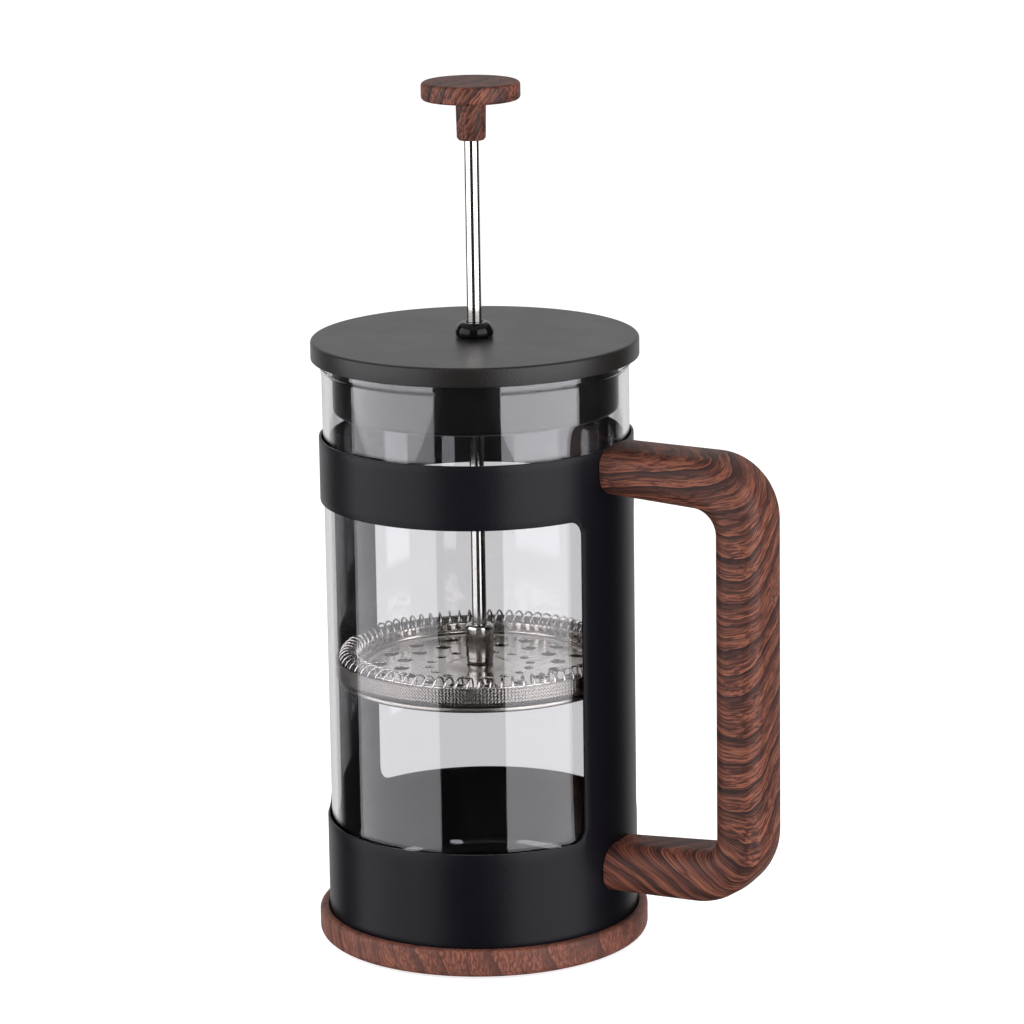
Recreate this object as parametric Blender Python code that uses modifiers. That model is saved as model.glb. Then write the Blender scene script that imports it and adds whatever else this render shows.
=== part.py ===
"""French press: a glass beaker in a windowed steel sleeve, with a plug lid and a spring-edged filter.

Sizes are millimetres, heights are measured from the surface that the press stands on, and the
axis of the beaker is the Z axis. The handle is on +X and the pouring spout on -X. mm() turns
millimetres into Blender's metres.
"""

import math

import bmesh
import bpy
from mathutils import Matrix, Vector

# ---------------------------------------------------------------- driving sizes

CLEARANCE = 0.3
ROUND_STEPS = 48
SMALL_STEPS = 24

# beaker
BEAKER_RADIUS = 50.0
BEAKER_HEIGHT = 186.0
GLASS_WALL = 2.0
BEAKER_CORNER = 8.0
SPOUT_REACH = 6.5
SPOUT_DIP = 5.0
SPOUT_HALF_ANGLE = 28.0
SPOUT_DEPTH = 22.0

# base
BASE_HEIGHT = 10.0
BASE_RIM = 3.0
BASE_FLOOR = 6.0
BASE_LIP = 0.8
SEAT_PLAY = 2.0
PAD_INSET = 10.6
PAD_HEIGHT = 2.0
BASE_SCREWS = 3
BASE_SCREW_INSET = 7.5
BASE_SCREW_RADIUS = 1.3
BASE_SCREW_HEAD = 2.7
BASE_SCREW_LENGTH = 5.8

# sleeve
SHEET = 0.8
BEAKER_PLAY = 0.5
RIM_ABOVE_SLEEVE = 26.5
UPPER_BAND = 21.0
LOWER_BAND_TOP = 41.4
FLANGE_WIDTH = 12.5
HANDLE_POST_ANGLE = 21.5
SPOUT_POST_ANGLE = 17.0
WINDOW_CORNER = 5.0

# handle
HANDLE_BOTTOM = 22.3
HANDLE_REACH = 54.1
GRIP_THICKNESS = 17.8
HANDLE_HALF_WIDTH = 11.5
ARM_ROOT = 16.1
ARM_OUTER_SLOPE = 0.012
ARM_INNER_SLOPE = 0.062
OUTER_CORNER_TOP = 20.0
OUTER_CORNER_BOTTOM = 23.0
INNER_CORNER_TOP = 8.0
INNER_CORNER_BOTTOM = 5.0
SECTION_OUTER_ROUND = 4.0
SECTION_INNER_ROUND = 8.0
HANDLE_SCREW_RADIUS = 1.95
HANDLE_SCREW_HEAD = 4.0
HANDLE_SCREW_LENGTH = 13.0
HANDLE_INSERT_RADIUS = 3.2
HANDLE_INSERT_LENGTH = 9.0
INSERT_SETBACK = 2.0
INSERT_BORE_SPARE = 4.0
DIMPLE_BRIM = 0.36
DIMPLE_MOUTH = 1.5
DIMPLE_REACH = 8.0

# lid
LID_OVERHANG = 3.4
LID_HEIGHT = 6.2
LID_DROP = 0.8
LID_WALL = 1.2
LID_EDGE = 1.0
COLLAR_PLAY = 1.5
COLLAR_WALL = 2.0
COLLAR_DEPTH = 18.0
COLLAR_PLATE = 2.5
BUSHING_BRIM = 1.7
BUSHING_HEIGHT = 4.5
NECK_WALL = 1.8
NUT_WALL = 1.7
NUT_HEIGHT = 2.8
WASHER_WIDTH = 3.7
WASHER_HEIGHT = 1.1

# plunger
ROD_RADIUS = 2.4
THREAD_RADIUS = 1.8
ROD_SHOWING = 59.4
FILTER_REST = 81.5
KNOB_RADIUS = 16.0
KNOB_DISC = 5.9
KNOB_HEIGHT = 18.9
KNOB_EDGE = 1.3
KNOB_CAP = 3.5
STEM_RADIUS = 4.9
KNOB_INSERT_WALL = 0.9
HUB_WALL = 1.9
HUB_HEIGHT = 12.8

# filter
PLATE_SHEET = 0.7
BOSS_RADIUS = 11.0
BOSS_RISE = 1.0
BOSS_SLOPE = 4.0
SPRING_COIL = 3.5
SPRING_WALL = 1.0
SPRING_OFFSET_SHARE = 0.4
PLATE_WALL_GRIP = 0.1
MESH_THICKNESS = 0.5
MESH_PLAY = 0.5
MESH_HEIGHT = 7.5
CROSS_SHEET = 0.8
CROSS_ROLL = 1.0
CROSS_SETBACK = 1.3
CLAMP_NUT_FLATS = 10.0
CLAMP_NUT_HEIGHT = 3.5
INNER_HOLES = (16, 16.6, 1.6)
OUTER_HOLES = (12, 27.0, 2.5)
CROSS_HOLES = (8, 29.0, 6.5)

# ---------------------------------------------------------------- sizes that follow

SEAT_Z = BASE_HEIGHT - CLEARANCE
BEAKER_BOTTOM = BASE_HEIGHT
RIM_Z = BEAKER_BOTTOM + BEAKER_HEIGHT
BEAKER_BORE = BEAKER_RADIUS - GLASS_WALL

SLEEVE_BORE = BEAKER_RADIUS + BEAKER_PLAY
SLEEVE_RADIUS = SLEEVE_BORE + SHEET
SLEEVE_TOP = RIM_Z - RIM_ABOVE_SLEEVE
SLEEVE_BOTTOM = BASE_FLOOR + CLEARANCE
FLANGE_BORE = SLEEVE_BORE - FLANGE_WIDTH
BASE_RADIUS = SLEEVE_RADIUS + CLEARANCE + BASE_RIM
SEAT_RADIUS = FLANGE_BORE - SEAT_PLAY
PAD_RADIUS = BASE_RADIUS - PAD_INSET
BASE_SCREW_RING = SLEEVE_BORE - BASE_SCREW_INSET

UPPER_SCREW_Z = SLEEVE_TOP - ARM_ROOT / 2
LOWER_SCREW_Z = HANDLE_BOTTOM + ARM_ROOT / 2
HANDLE_SCREWS = ((UPPER_SCREW_Z, "upper"), (LOWER_SCREW_Z, "lower"))
SCREW_FACE = SLEEVE_BORE - SHEET * 0.2
HANDLE_OUTSIDE = SLEEVE_RADIUS + HANDLE_REACH

LID_RADIUS = BEAKER_RADIUS + LID_OVERHANG
LID_BOTTOM = RIM_Z - LID_DROP
LID_TOP = LID_BOTTOM + LID_HEIGHT
COLLAR_TOP = LID_TOP - LID_WALL - CLEARANCE
COLLAR_UNDER = COLLAR_TOP - COLLAR_PLATE
COLLAR_RADIUS = BEAKER_BORE - COLLAR_PLAY
ROD_BORE = ROD_RADIUS + CLEARANCE
NECK_RADIUS = ROD_BORE + NECK_WALL
NECK_HOLE = NECK_RADIUS + CLEARANCE
BUSHING_RADIUS = NECK_RADIUS + BUSHING_BRIM
NUT_FLATS = 2 * (NECK_HOLE + NUT_WALL)
BUSHING_TOP = LID_TOP + CLEARANCE + BUSHING_HEIGHT

HUB_RADIUS = ROD_BORE + HUB_WALL
PLATE_TOP = SEAT_Z + FILTER_REST
KNOB_BOTTOM = BUSHING_TOP + ROD_SHOWING
KNOB_TOP = KNOB_BOTTOM + KNOB_HEIGHT
THREAD_BORE = THREAD_RADIUS + CLEARANCE
KNOB_BORE = THREAD_BORE + KNOB_INSERT_WALL + CLEARANCE
MESH_RADIUS = BEAKER_BORE - MESH_PLAY
SPRING_CENTRE = MESH_RADIUS - MESH_THICKNESS - CLEARANCE - SPRING_COIL
SPRING_Z = PLATE_TOP + 2 * CLEARANCE + SPRING_COIL
SPRING_OFFSET = SPRING_COIL * SPRING_OFFSET_SHARE
PLATE_WALL_RADIUS = SPRING_CENTRE - SPRING_OFFSET
PLATE_WALL_TOP = SPRING_Z + PLATE_WALL_GRIP
MESH_TOP = PLATE_TOP - PLATE_SHEET - CLEARANCE
CROSS_TOP = MESH_TOP - MESH_THICKNESS - CLEARANCE
CROSS_RADIUS = MESH_RADIUS - CROSS_SETBACK
CLAMP_NUT_TOP = CROSS_TOP - CROSS_SHEET - CLEARANCE
STUD_BOTTOM = CLAMP_NUT_TOP - CLAMP_NUT_HEIGHT - 2 * CLEARANCE


def mm(*lengths):
    """Millimetres as metres: one number for one length, a Vector for several."""
    scaled = [length * 0.001 for length in lengths]
    return scaled[0] if len(scaled) == 1 else Vector(scaled)


# ---------------------------------------------------------------- scene

for old in list(bpy.data.objects):
    bpy.data.objects.remove(old, do_unlink=True)

parts = bpy.data.collections.new("french_press")
cutters = bpy.data.collections.new("french_press_cutters")
bpy.context.scene.collection.children.link(parts)
bpy.context.scene.collection.children.link(cutters)

FINISHES = {
    "wood_effect": ((0.115, 0.045, 0.028), 0.42, 0.0),
    "black_powder_coat": ((0.012, 0.012, 0.013), 0.5, 0.0),
    "black_plastic": ((0.010, 0.010, 0.010), 0.3, 0.0),
    "gloss_black": ((0.006, 0.006, 0.006), 0.08, 0.0),
    "steel": ((0.62, 0.61, 0.59), 0.2, 1.0),
    "brass": ((0.65, 0.48, 0.22), 0.3, 1.0),
    "rubber": ((0.02, 0.02, 0.02), 0.9, 0.0),
    "glass": ((0.9, 0.93, 0.93), 0.03, 0.0),
}


def material(finish):
    """The finish's Principled material, made the first time that it is asked for."""
    if finish in bpy.data.materials:
        return bpy.data.materials[finish]
    colour, roughness, metallic = FINISHES[finish]
    made = bpy.data.materials.new(finish)
    made.use_nodes = True
    shader = made.node_tree.nodes["Principled BSDF"]
    shader.inputs["Base Color"].default_value = (*colour, 1.0)
    shader.inputs["Roughness"].default_value = roughness
    shader.inputs["Metallic"].default_value = metallic
    return made


def body_empty(name, parent=None):
    """An empty at the foot of the press's axis that the pieces of one moving group hang from."""
    empty = bpy.data.objects.new(name, None)
    empty.parent = parent
    parts.objects.link(empty)
    return empty


def place(mesh, name, finish, parent):
    """A mesh in millimetres as a named piece under parent."""
    mesh.transform(Matrix.Scale(0.001, 4))
    piece = bpy.data.objects.new(name, mesh)
    parts.objects.link(piece)
    piece.parent = parent
    mesh.materials.append(material(finish))
    mesh.shade_smooth()
    mesh.set_sharp_from_angle(angle=math.radians(35))
    return piece


def as_cutter(mesh, name):
    """A mesh in millimetres as a hidden cutter."""
    mesh.transform(Matrix.Scale(0.001, 4))
    cutter = bpy.data.objects.new(name, mesh)
    cutter.hide_render = True
    cutter.display_type = "WIRE"
    cutters.objects.link(cutter)
    return cutter


def boolean(piece, cutter, operation="DIFFERENCE"):
    """An exact Boolean modifier on piece."""
    change = piece.modifiers.new(f"{operation.lower()} {cutter.name}", "BOOLEAN")
    change.operation = operation
    change.solver = "EXACT"
    change.object = cutter


# ---------------------------------------------------------------- shapes


def arc(centre_r, centre_z, radius, start, end, steps=3):
    """Profile points on an arc, angles in degrees from +r towards +z."""
    angles = [math.radians(start + (end - start) * i / steps) for i in range(steps + 1)]
    return [(centre_r + radius * math.cos(a), centre_z + radius * math.sin(a)) for a in angles]


def turned(name, profile, finish, parent, closed=True, steps=ROUND_STEPS):
    """A profile of (radius, height), down its outer side, turned about Z by a Screw modifier."""
    mesh = bpy.data.meshes.new(name)
    edges = [(i, i + 1) for i in range(len(profile) - 1)]
    if closed:
        edges.append((len(profile) - 1, 0))
    mesh.from_pydata([(r, 0, z) for r, z in profile], edges, [])
    piece = place(mesh, name, finish, parent)
    screw = piece.modifiers.new("turn", "SCREW")
    screw.axis = "Z"
    screw.angle = math.tau
    screw.steps = screw.render_steps = steps
    screw.use_merge_vertices = True
    screw.merge_threshold = 0.00001
    screw.use_smooth_shade = True
    return piece


def cone_mesh(name, radius_low, radius_high, low, high, spot=(0, 0), steps=SMALL_STEPS):
    """An upright cylinder or cone between two heights over a spot."""
    mesh = bpy.data.meshes.new(name)
    shape = bmesh.new()
    bmesh.ops.create_cone(
        shape,
        cap_ends=True,
        segments=steps,
        radius1=radius_low,
        radius2=radius_high,
        depth=high - low,
        matrix=Matrix.Translation((*spot, (low + high) / 2)),
    )
    shape.to_mesh(mesh)
    shape.free()
    return mesh


def drilled(piece, name, radius, low, high, spots, radius_high=None, steps=SMALL_STEPS):
    """Cuts one vertical hole, straight or conical, at each spot."""
    for index, spot in enumerate(spots, start=1):
        hole = cone_mesh(name, radius, radius_high or radius, low, high, spot, steps)
        boolean(piece, as_cutter(hole, f"{name}_{index}"))


def ring_of(count, radius, first=180 / ROUND_STEPS):
    """Spots at even angles round the axis, the first one between two turned edges."""
    angles = [math.radians(first) + math.tau * i / count for i in range(count)]
    return [(radius * math.cos(a), radius * math.sin(a)) for a in angles]


def hexagon_nut(name, flats, bore, low, high, finish, parent):
    """A hexagon nut on the axis."""
    nut = place(
        cone_mesh(name, flats / math.sqrt(3), flats / math.sqrt(3), low, high, steps=6),
        name,
        finish,
        parent,
    )
    drilled(nut, f"{name}_bore", bore, low - 1, high + 1, [(0, 0)])
    return nut


# ---------------------------------------------------------------- base and sleeve

root = body_empty("root")


def make_base():
    """The pad, the base plate and the screws that come up through it into the sleeve's flange."""
    pad_pocket = PAD_HEIGHT + CLEARANCE
    recess = SLEEVE_RADIUS + CLEARANCE
    shoulder, foot, chamfer = 1.4, 2.6, 0.6
    profile = [(0, SEAT_Z), (SEAT_RADIUS - chamfer, SEAT_Z), (SEAT_RADIUS, SEAT_Z - chamfer)]
    profile += [(SEAT_RADIUS, BASE_FLOOR), (recess, BASE_FLOOR), (recess, BASE_HEIGHT)]
    profile += arc(BASE_RADIUS - shoulder, BASE_HEIGHT - shoulder, shoulder, 90, 0)
    profile += arc(BASE_RADIUS - foot, BASE_LIP + foot, foot, 0, -90)
    profile += [(PAD_RADIUS + CLEARANCE, BASE_LIP), (PAD_RADIUS + CLEARANCE, pad_pocket), (0, pad_pocket)]
    base = turned("base_plate", profile, "wood_effect", root, closed=False)
    spots = ring_of(BASE_SCREWS, BASE_SCREW_RING, first=60)
    hole = BASE_SCREW_RADIUS + CLEARANCE
    head_z = pad_pocket + CLEARANCE
    drop = BASE_SCREW_HEAD - BASE_SCREW_RADIUS
    drilled(base, "base_screw_hole", hole, 0, BASE_HEIGHT, spots, steps=16)
    wide = BASE_SCREW_HEAD + 2 * CLEARANCE
    drilled(base, "base_countersink", wide + 1, head_z - 1, head_z + drop + CLEARANCE, spots,
            radius_high=hole, steps=16)

    pad = [(0, PAD_HEIGHT), (PAD_RADIUS, PAD_HEIGHT), (PAD_RADIUS, 0), (0, 0)]
    turned("non_slip_pad", pad, "rubber", root, closed=False)

    for index, (x, y) in enumerate(spots, start=1):
        profile = [(0, head_z + BASE_SCREW_LENGTH), (BASE_SCREW_RADIUS, head_z + BASE_SCREW_LENGTH)]
        profile += [(BASE_SCREW_RADIUS, head_z + drop), (BASE_SCREW_HEAD, head_z), (0, head_z)]
        screw = turned(f"base_screw_{index}", profile, "steel", root, closed=False, steps=16)
        screw.location += mm(x, y, 0)
    return spots, hole


def window_cutter(name, start, end):
    """A wedge between two angles about the axis, its radial edges rounded to the window's corner."""
    low, high = LOWER_BAND_TOP, SLEEVE_TOP - UPPER_BAND
    inner, outer = SLEEVE_BORE * 0.6, SLEEVE_RADIUS * 1.4
    angles = [math.radians(start + (end - start) * i / 8) for i in range(9)]
    outline = [(outer * math.cos(a), outer * math.sin(a)) for a in angles]
    outline += [(inner * math.cos(a), inner * math.sin(a)) for a in (angles[-1], angles[0])]
    mesh = bpy.data.meshes.new(name)
    shape = bmesh.new()
    floor = shape.faces.new([shape.verts.new((x, y, low)) for x, y in outline])
    raised = bmesh.ops.extrude_face_region(shape, geom=[floor])
    bmesh.ops.translate(
        shape,
        verts=[v for v in raised["geom"] if isinstance(v, bmesh.types.BMVert)],
        vec=(0, 0, high - low),
    )
    radial = []
    for edge in shape.edges:
        a, b = (v.co for v in edge.verts)
        level = abs(a.z - b.z) < 0.001
        if level and abs(a.xy.length - b.xy.length) > 1:
            radial.append(edge)
    bmesh.ops.bevel(shape, geom=radial, offset=WINDOW_CORNER, segments=5, profile=0.5,
                    affect="EDGES", clamp_overlap=False)
    bmesh.ops.recalc_face_normals(shape, faces=shape.faces)
    shape.to_mesh(mesh)
    shape.free()
    return as_cutter(mesh, name)


def spindle(name, stations, height):
    """A solid turned about a line along +X at a height, from stations of (x, radius)."""
    mesh = bpy.data.meshes.new(name)
    shape = bmesh.new()
    rings = []
    for x, radius in stations:
        angles = [math.tau * (i + 0.5) / SMALL_STEPS for i in range(SMALL_STEPS)]
        points = [(x, radius * math.cos(a), height + radius * math.sin(a)) for a in angles]
        rings.append([shape.verts.new(point) for point in points])
    for near, far in zip(rings, rings[1:]):
        for i in range(SMALL_STEPS):
            j = (i + 1) % SMALL_STEPS
            shape.faces.new((near[i], near[j], far[j], far[i]))
    shape.faces.new(rings[0])
    shape.faces.new(rings[-1])
    bmesh.ops.recalc_face_normals(shape, faces=shape.faces)
    shape.to_mesh(mesh)
    shape.free()
    return mesh


def countersunk(name, height, grow, shank, end=None, start=SCREW_FACE):
    """The handle screw's 45 degree head grown all round, narrowing along +X to a shank up to end."""
    wide = HANDLE_SCREW_HEAD + grow * math.sqrt(2)
    stations = [(start, wide + SCREW_FACE - start), (SCREW_FACE + wide - shank, shank)]
    if end:
        stations.append((end, shank))
    return spindle(name, stations, height)


def make_sleeve(screw_spots, flange_hole):
    """The sleeve: a rolled sheet with an inward flange, two windows and two dimples for the screws."""
    profile = [(SLEEVE_RADIUS, SLEEVE_TOP), (SLEEVE_RADIUS, SLEEVE_BOTTOM), (FLANGE_BORE, SLEEVE_BOTTOM)]
    profile += [(FLANGE_BORE, SLEEVE_BOTTOM + SHEET), (SLEEVE_BORE, SLEEVE_BOTTOM + SHEET)]
    profile += [(SLEEVE_BORE, SLEEVE_TOP)]
    sleeve = turned("frame_sleeve", profile, "black_powder_coat", root)
    boolean(sleeve, window_cutter("window_a", HANDLE_POST_ANGLE, 180 - SPOUT_POST_ANGLE))
    boolean(sleeve, window_cutter("window_b", 180 + SPOUT_POST_ANGLE, 360 - HANDLE_POST_ANGLE))
    hole = HANDLE_SCREW_RADIUS + CLEARANCE
    for height, where in HANDLE_SCREWS:
        dimple = countersunk(f"dimple_{where}", height, CLEARANCE + SHEET, hole + DIMPLE_BRIM)
        boolean(sleeve, as_cutter(dimple, f"dimple_{where}"), "UNION")
        hollow = countersunk(f"dimple_hollow_{where}", height, CLEARANCE, hole,
                             SCREW_FACE + DIMPLE_REACH, SCREW_FACE - DIMPLE_MOUTH)
        boolean(sleeve, as_cutter(hollow, f"dimple_hollow_{where}"))
    drilled(sleeve, "flange_hole", flange_hole, SLEEVE_BOTTOM - 1, SLEEVE_BOTTOM + SHEET + 1,
            screw_spots, steps=16)


# ---------------------------------------------------------------- handle


def corner(before, at, after, radius, steps):
    """Points on the arc that rounds the corner at a point between two others."""
    before, at, after = Vector(before), Vector(at), Vector(after)
    back, on = (before - at).normalized(), (after - at).normalized()
    half = back.angle(on) / 2
    centre = at + (back + on).normalized() * radius / math.sin(half)
    start = at + back * radius / math.tan(half) - centre
    end = at + on * radius / math.tan(half) - centre
    sweep = start.angle(end)
    points = []
    for i in range(steps + 1):
        t = i / steps
        blend = start * math.sin((1 - t) * sweep) + end * math.sin(t * sweep)
        points.append(centre + blend / math.sin(sweep))
    return points


def handle_edge(offset, slope, top_radius, bottom_radius):
    """One long edge of the handle in the XZ plane, from the upper root round to the lower root."""
    root_x = SLEEVE_BORE - 3
    side_x = HANDLE_OUTSIDE - offset * GRIP_THICKNESS
    top = SLEEVE_TOP - offset * ARM_ROOT
    bottom = HANDLE_BOTTOM + offset * ARM_ROOT
    run = side_x - root_x
    upper, lower = (root_x, top), (root_x, bottom)
    upper_corner, lower_corner = (side_x, top - slope * run), (side_x, bottom + slope * run)
    first = corner(upper, upper_corner, lower_corner, top_radius, 6)
    second = corner(upper_corner, lower_corner, lower, bottom_radius, 6)
    points = [Vector(upper).lerp(first[0], i / 4) for i in range(4)] + first
    points += [first[-1].lerp(second[0], i / 5) for i in range(1, 5)] + second
    return points + [second[-1].lerp(Vector(lower), i / 4) for i in range(1, 5)]


def handle_section(inner, outer):
    """A rounded section between an inner and an outer edge point, tighter rounds on the outside."""
    across = outer - inner
    height = across.length
    up = across.normalized()
    tight = min(SECTION_OUTER_ROUND, height * 0.3)
    soft = min(SECTION_INNER_ROUND, height * 0.5)
    wide = HANDLE_HALF_WIDTH
    outline = arc(wide - tight, height - tight, tight, 0, 90)
    outline += arc(-wide + tight, height - tight, tight, 90, 180)
    outline += arc(-wide + soft, soft, soft, 180, 270, 4)
    outline += arc(wide - soft, soft, soft, 270, 360, 4)
    return [Vector((inner.x + up.x * v, u, inner.y + up.y * v)) for u, v in outline]


def make_handle():
    """The handle: a loft of rounded sections round a D, saddled to the sleeve and bored for its screws."""
    outer = handle_edge(0, ARM_OUTER_SLOPE, OUTER_CORNER_TOP, OUTER_CORNER_BOTTOM)
    inner = handle_edge(1, ARM_INNER_SLOPE, INNER_CORNER_TOP, INNER_CORNER_BOTTOM)
    rings = [handle_section(i, o) for i, o in zip(inner, outer)]
    count = len(rings[0])
    shape = bmesh.new()
    placed = [[shape.verts.new(point) for point in ring] for ring in rings]
    for near, far in zip(placed, placed[1:]):
        for i in range(count):
            j = (i + 1) % count
            shape.faces.new((near[i], near[j], far[j], far[i]))
    shape.faces.new(placed[0])
    shape.faces.new(placed[-1])
    bmesh.ops.recalc_face_normals(shape, faces=shape.faces)
    mesh = bpy.data.meshes.new("handle")
    shape.to_mesh(mesh)
    shape.free()
    handle = place(mesh, "handle", "wood_effect", root)
    reach = SLEEVE_RADIUS + CLEARANCE
    saddle = cone_mesh("saddle", reach, reach, 0, SLEEVE_TOP + ARM_ROOT, steps=ROUND_STEPS)
    boolean(handle, as_cutter(saddle, "saddle"))
    insert_low = SCREW_FACE + HANDLE_SCREW_HEAD - HANDLE_SCREW_RADIUS + INSERT_SETBACK
    insert_high = insert_low + HANDLE_INSERT_LENGTH
    thread = HANDLE_SCREW_RADIUS + CLEARANCE
    for height, where in HANDLE_SCREWS:
        pocket = countersunk(f"pocket_{where}", height, 2 * CLEARANCE + SHEET,
                             HANDLE_INSERT_RADIUS + CLEARANCE, insert_high + INSERT_BORE_SPARE)
        boolean(handle, as_cutter(pocket, f"pocket_{where}"))
        name = f"handle_insert_{where}"
        ends = (insert_low, HANDLE_INSERT_RADIUS), (insert_high, HANDLE_INSERT_RADIUS)
        insert = place(spindle(name, ends, height), name, "brass", root)
        bore = spindle(f"{name}_bore", ((insert_low - 1, thread), (insert_high + 1, thread)), height)
        boolean(insert, as_cutter(bore, f"{name}_bore"))
        name = f"handle_screw_{where}"
        screw = countersunk(name, height, 0, HANDLE_SCREW_RADIUS, SCREW_FACE + HANDLE_SCREW_LENGTH)
        place(screw, name, "steel", root)


# ---------------------------------------------------------------- beaker


def smooth(t):
    """0 to 1 with a level start and end."""
    t = min(max(t, 0.0), 1.0)
    return t * t * (3 - 2 * t)


def pull_spout(mesh):
    """Moves the glass near the rim out and down on the -X side, as a lip is drawn on a beaker."""
    for vertex in mesh.vertices:
        x, y, z = vertex.co * 1000
        off_axis = math.degrees(math.atan2(abs(y), -x))
        if off_axis > SPOUT_HALF_ANGLE:
            continue
        share = math.cos(math.radians(off_axis * 90 / SPOUT_HALF_ANGLE)) ** 2
        share *= smooth((z - RIM_Z + SPOUT_DEPTH) / SPOUT_DEPTH)
        out = 1 + SPOUT_REACH * share / math.hypot(x, y) if share else 1
        vertex.co = mm(x * out, y * out, z - SPOUT_DIP * share)


def make_beaker(parent):
    """The glass: a turned wall with a rounded foot and rim, and a spout drawn out of it."""
    wall_round = GLASS_WALL / 2
    inner_corner = BEAKER_CORNER - GLASS_WALL
    levels = [RIM_Z - SPOUT_DEPTH + i * (SPOUT_DEPTH - wall_round) / 4 for i in range(4)]
    profile = [(0, BEAKER_BOTTOM + GLASS_WALL)]
    profile += arc(BEAKER_BORE - inner_corner, BEAKER_BOTTOM + BEAKER_CORNER, inner_corner, -90, 0)
    profile += [(BEAKER_BORE, z) for z in levels]
    profile += arc(BEAKER_RADIUS - wall_round, RIM_Z - wall_round, wall_round, 180, 0, 4)
    profile += [(BEAKER_RADIUS, z) for z in reversed(levels)]
    profile += arc(BEAKER_RADIUS - BEAKER_CORNER, BEAKER_BOTTOM + BEAKER_CORNER, BEAKER_CORNER, 0, -90)
    profile += [(0, BEAKER_BOTTOM)]
    beaker = turned("beaker", profile, "glass", parent, closed=False)
    bpy.context.view_layer.update()
    graph = bpy.context.evaluated_depsgraph_get()
    mesh = bpy.data.meshes.new_from_object(beaker.evaluated_get(graph))
    beaker.modifiers.clear()
    beaker.data = mesh
    mesh.name = "beaker"
    pull_spout(mesh)


# ---------------------------------------------------------------- lid


def make_lid(parent):
    """The cap, the plug collar under it, and the bushing, washer and nut that clamp them together."""
    cap_inside = LID_RADIUS - LID_WALL
    cap = [(NECK_HOLE, LID_TOP)]
    cap += arc(LID_RADIUS - LID_EDGE, LID_TOP - LID_EDGE, LID_EDGE, 90, 0)
    cap += [(LID_RADIUS, LID_BOTTOM), (cap_inside, LID_BOTTOM)]
    cap += [(cap_inside, LID_TOP - LID_WALL), (NECK_HOLE, LID_TOP - LID_WALL)]
    turned("lid_cap", cap, "black_powder_coat", parent)

    collar_bottom = RIM_Z - COLLAR_DEPTH
    edge = cap_inside - 2 * CLEARANCE
    edge_round = COLLAR_WALL * 0.9
    collar = [(NECK_HOLE, COLLAR_TOP), (edge, COLLAR_TOP), (edge, RIM_Z + CLEARANCE)]
    collar += [(COLLAR_RADIUS, RIM_Z + CLEARANCE)]
    collar += arc(COLLAR_RADIUS - edge_round, collar_bottom + edge_round, edge_round, 0, -90)
    collar += [(COLLAR_RADIUS - COLLAR_WALL, collar_bottom)]
    collar += [(COLLAR_RADIUS - COLLAR_WALL, COLLAR_UNDER), (NECK_HOLE, COLLAR_UNDER)]
    turned("lid_collar", collar, "black_plastic", parent)

    washer_top = COLLAR_UNDER - CLEARANCE
    nut_top = washer_top - WASHER_HEIGHT - CLEARANCE
    neck_bottom = nut_top - NUT_HEIGHT - CLEARANCE
    dome_foot = LID_TOP + CLEARANCE
    foot_height, mouth, tuck = 1.0, ROD_BORE + 0.8, 0.3
    bushing = [(ROD_BORE, BUSHING_TOP), (mouth, BUSHING_TOP)]
    for i in range(1, 6):
        turn = math.radians(90 - 18 * i)
        rise = (BUSHING_HEIGHT - foot_height) * math.sin(turn)
        bushing.append((mouth + (BUSHING_RADIUS - mouth) * math.cos(turn), dome_foot + foot_height + rise))
    bushing += [(BUSHING_RADIUS - tuck, dome_foot), (NECK_RADIUS, dome_foot)]
    bushing += [(NECK_RADIUS, neck_bottom), (ROD_BORE, neck_bottom)]
    turned("rod_bushing", bushing, "gloss_black", parent, steps=SMALL_STEPS)

    washer_low = washer_top - WASHER_HEIGHT
    washer = [(NECK_HOLE, washer_top), (NECK_HOLE + WASHER_WIDTH, washer_top)]
    washer += [(NECK_HOLE + WASHER_WIDTH, washer_low), (NECK_HOLE, washer_low)]
    turned("bushing_washer", washer, "steel", parent, steps=SMALL_STEPS)
    hexagon_nut("bushing_nut", NUT_FLATS, NECK_HOLE, nut_top - NUT_HEIGHT, nut_top, "steel", parent)


# ---------------------------------------------------------------- plunger


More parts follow.
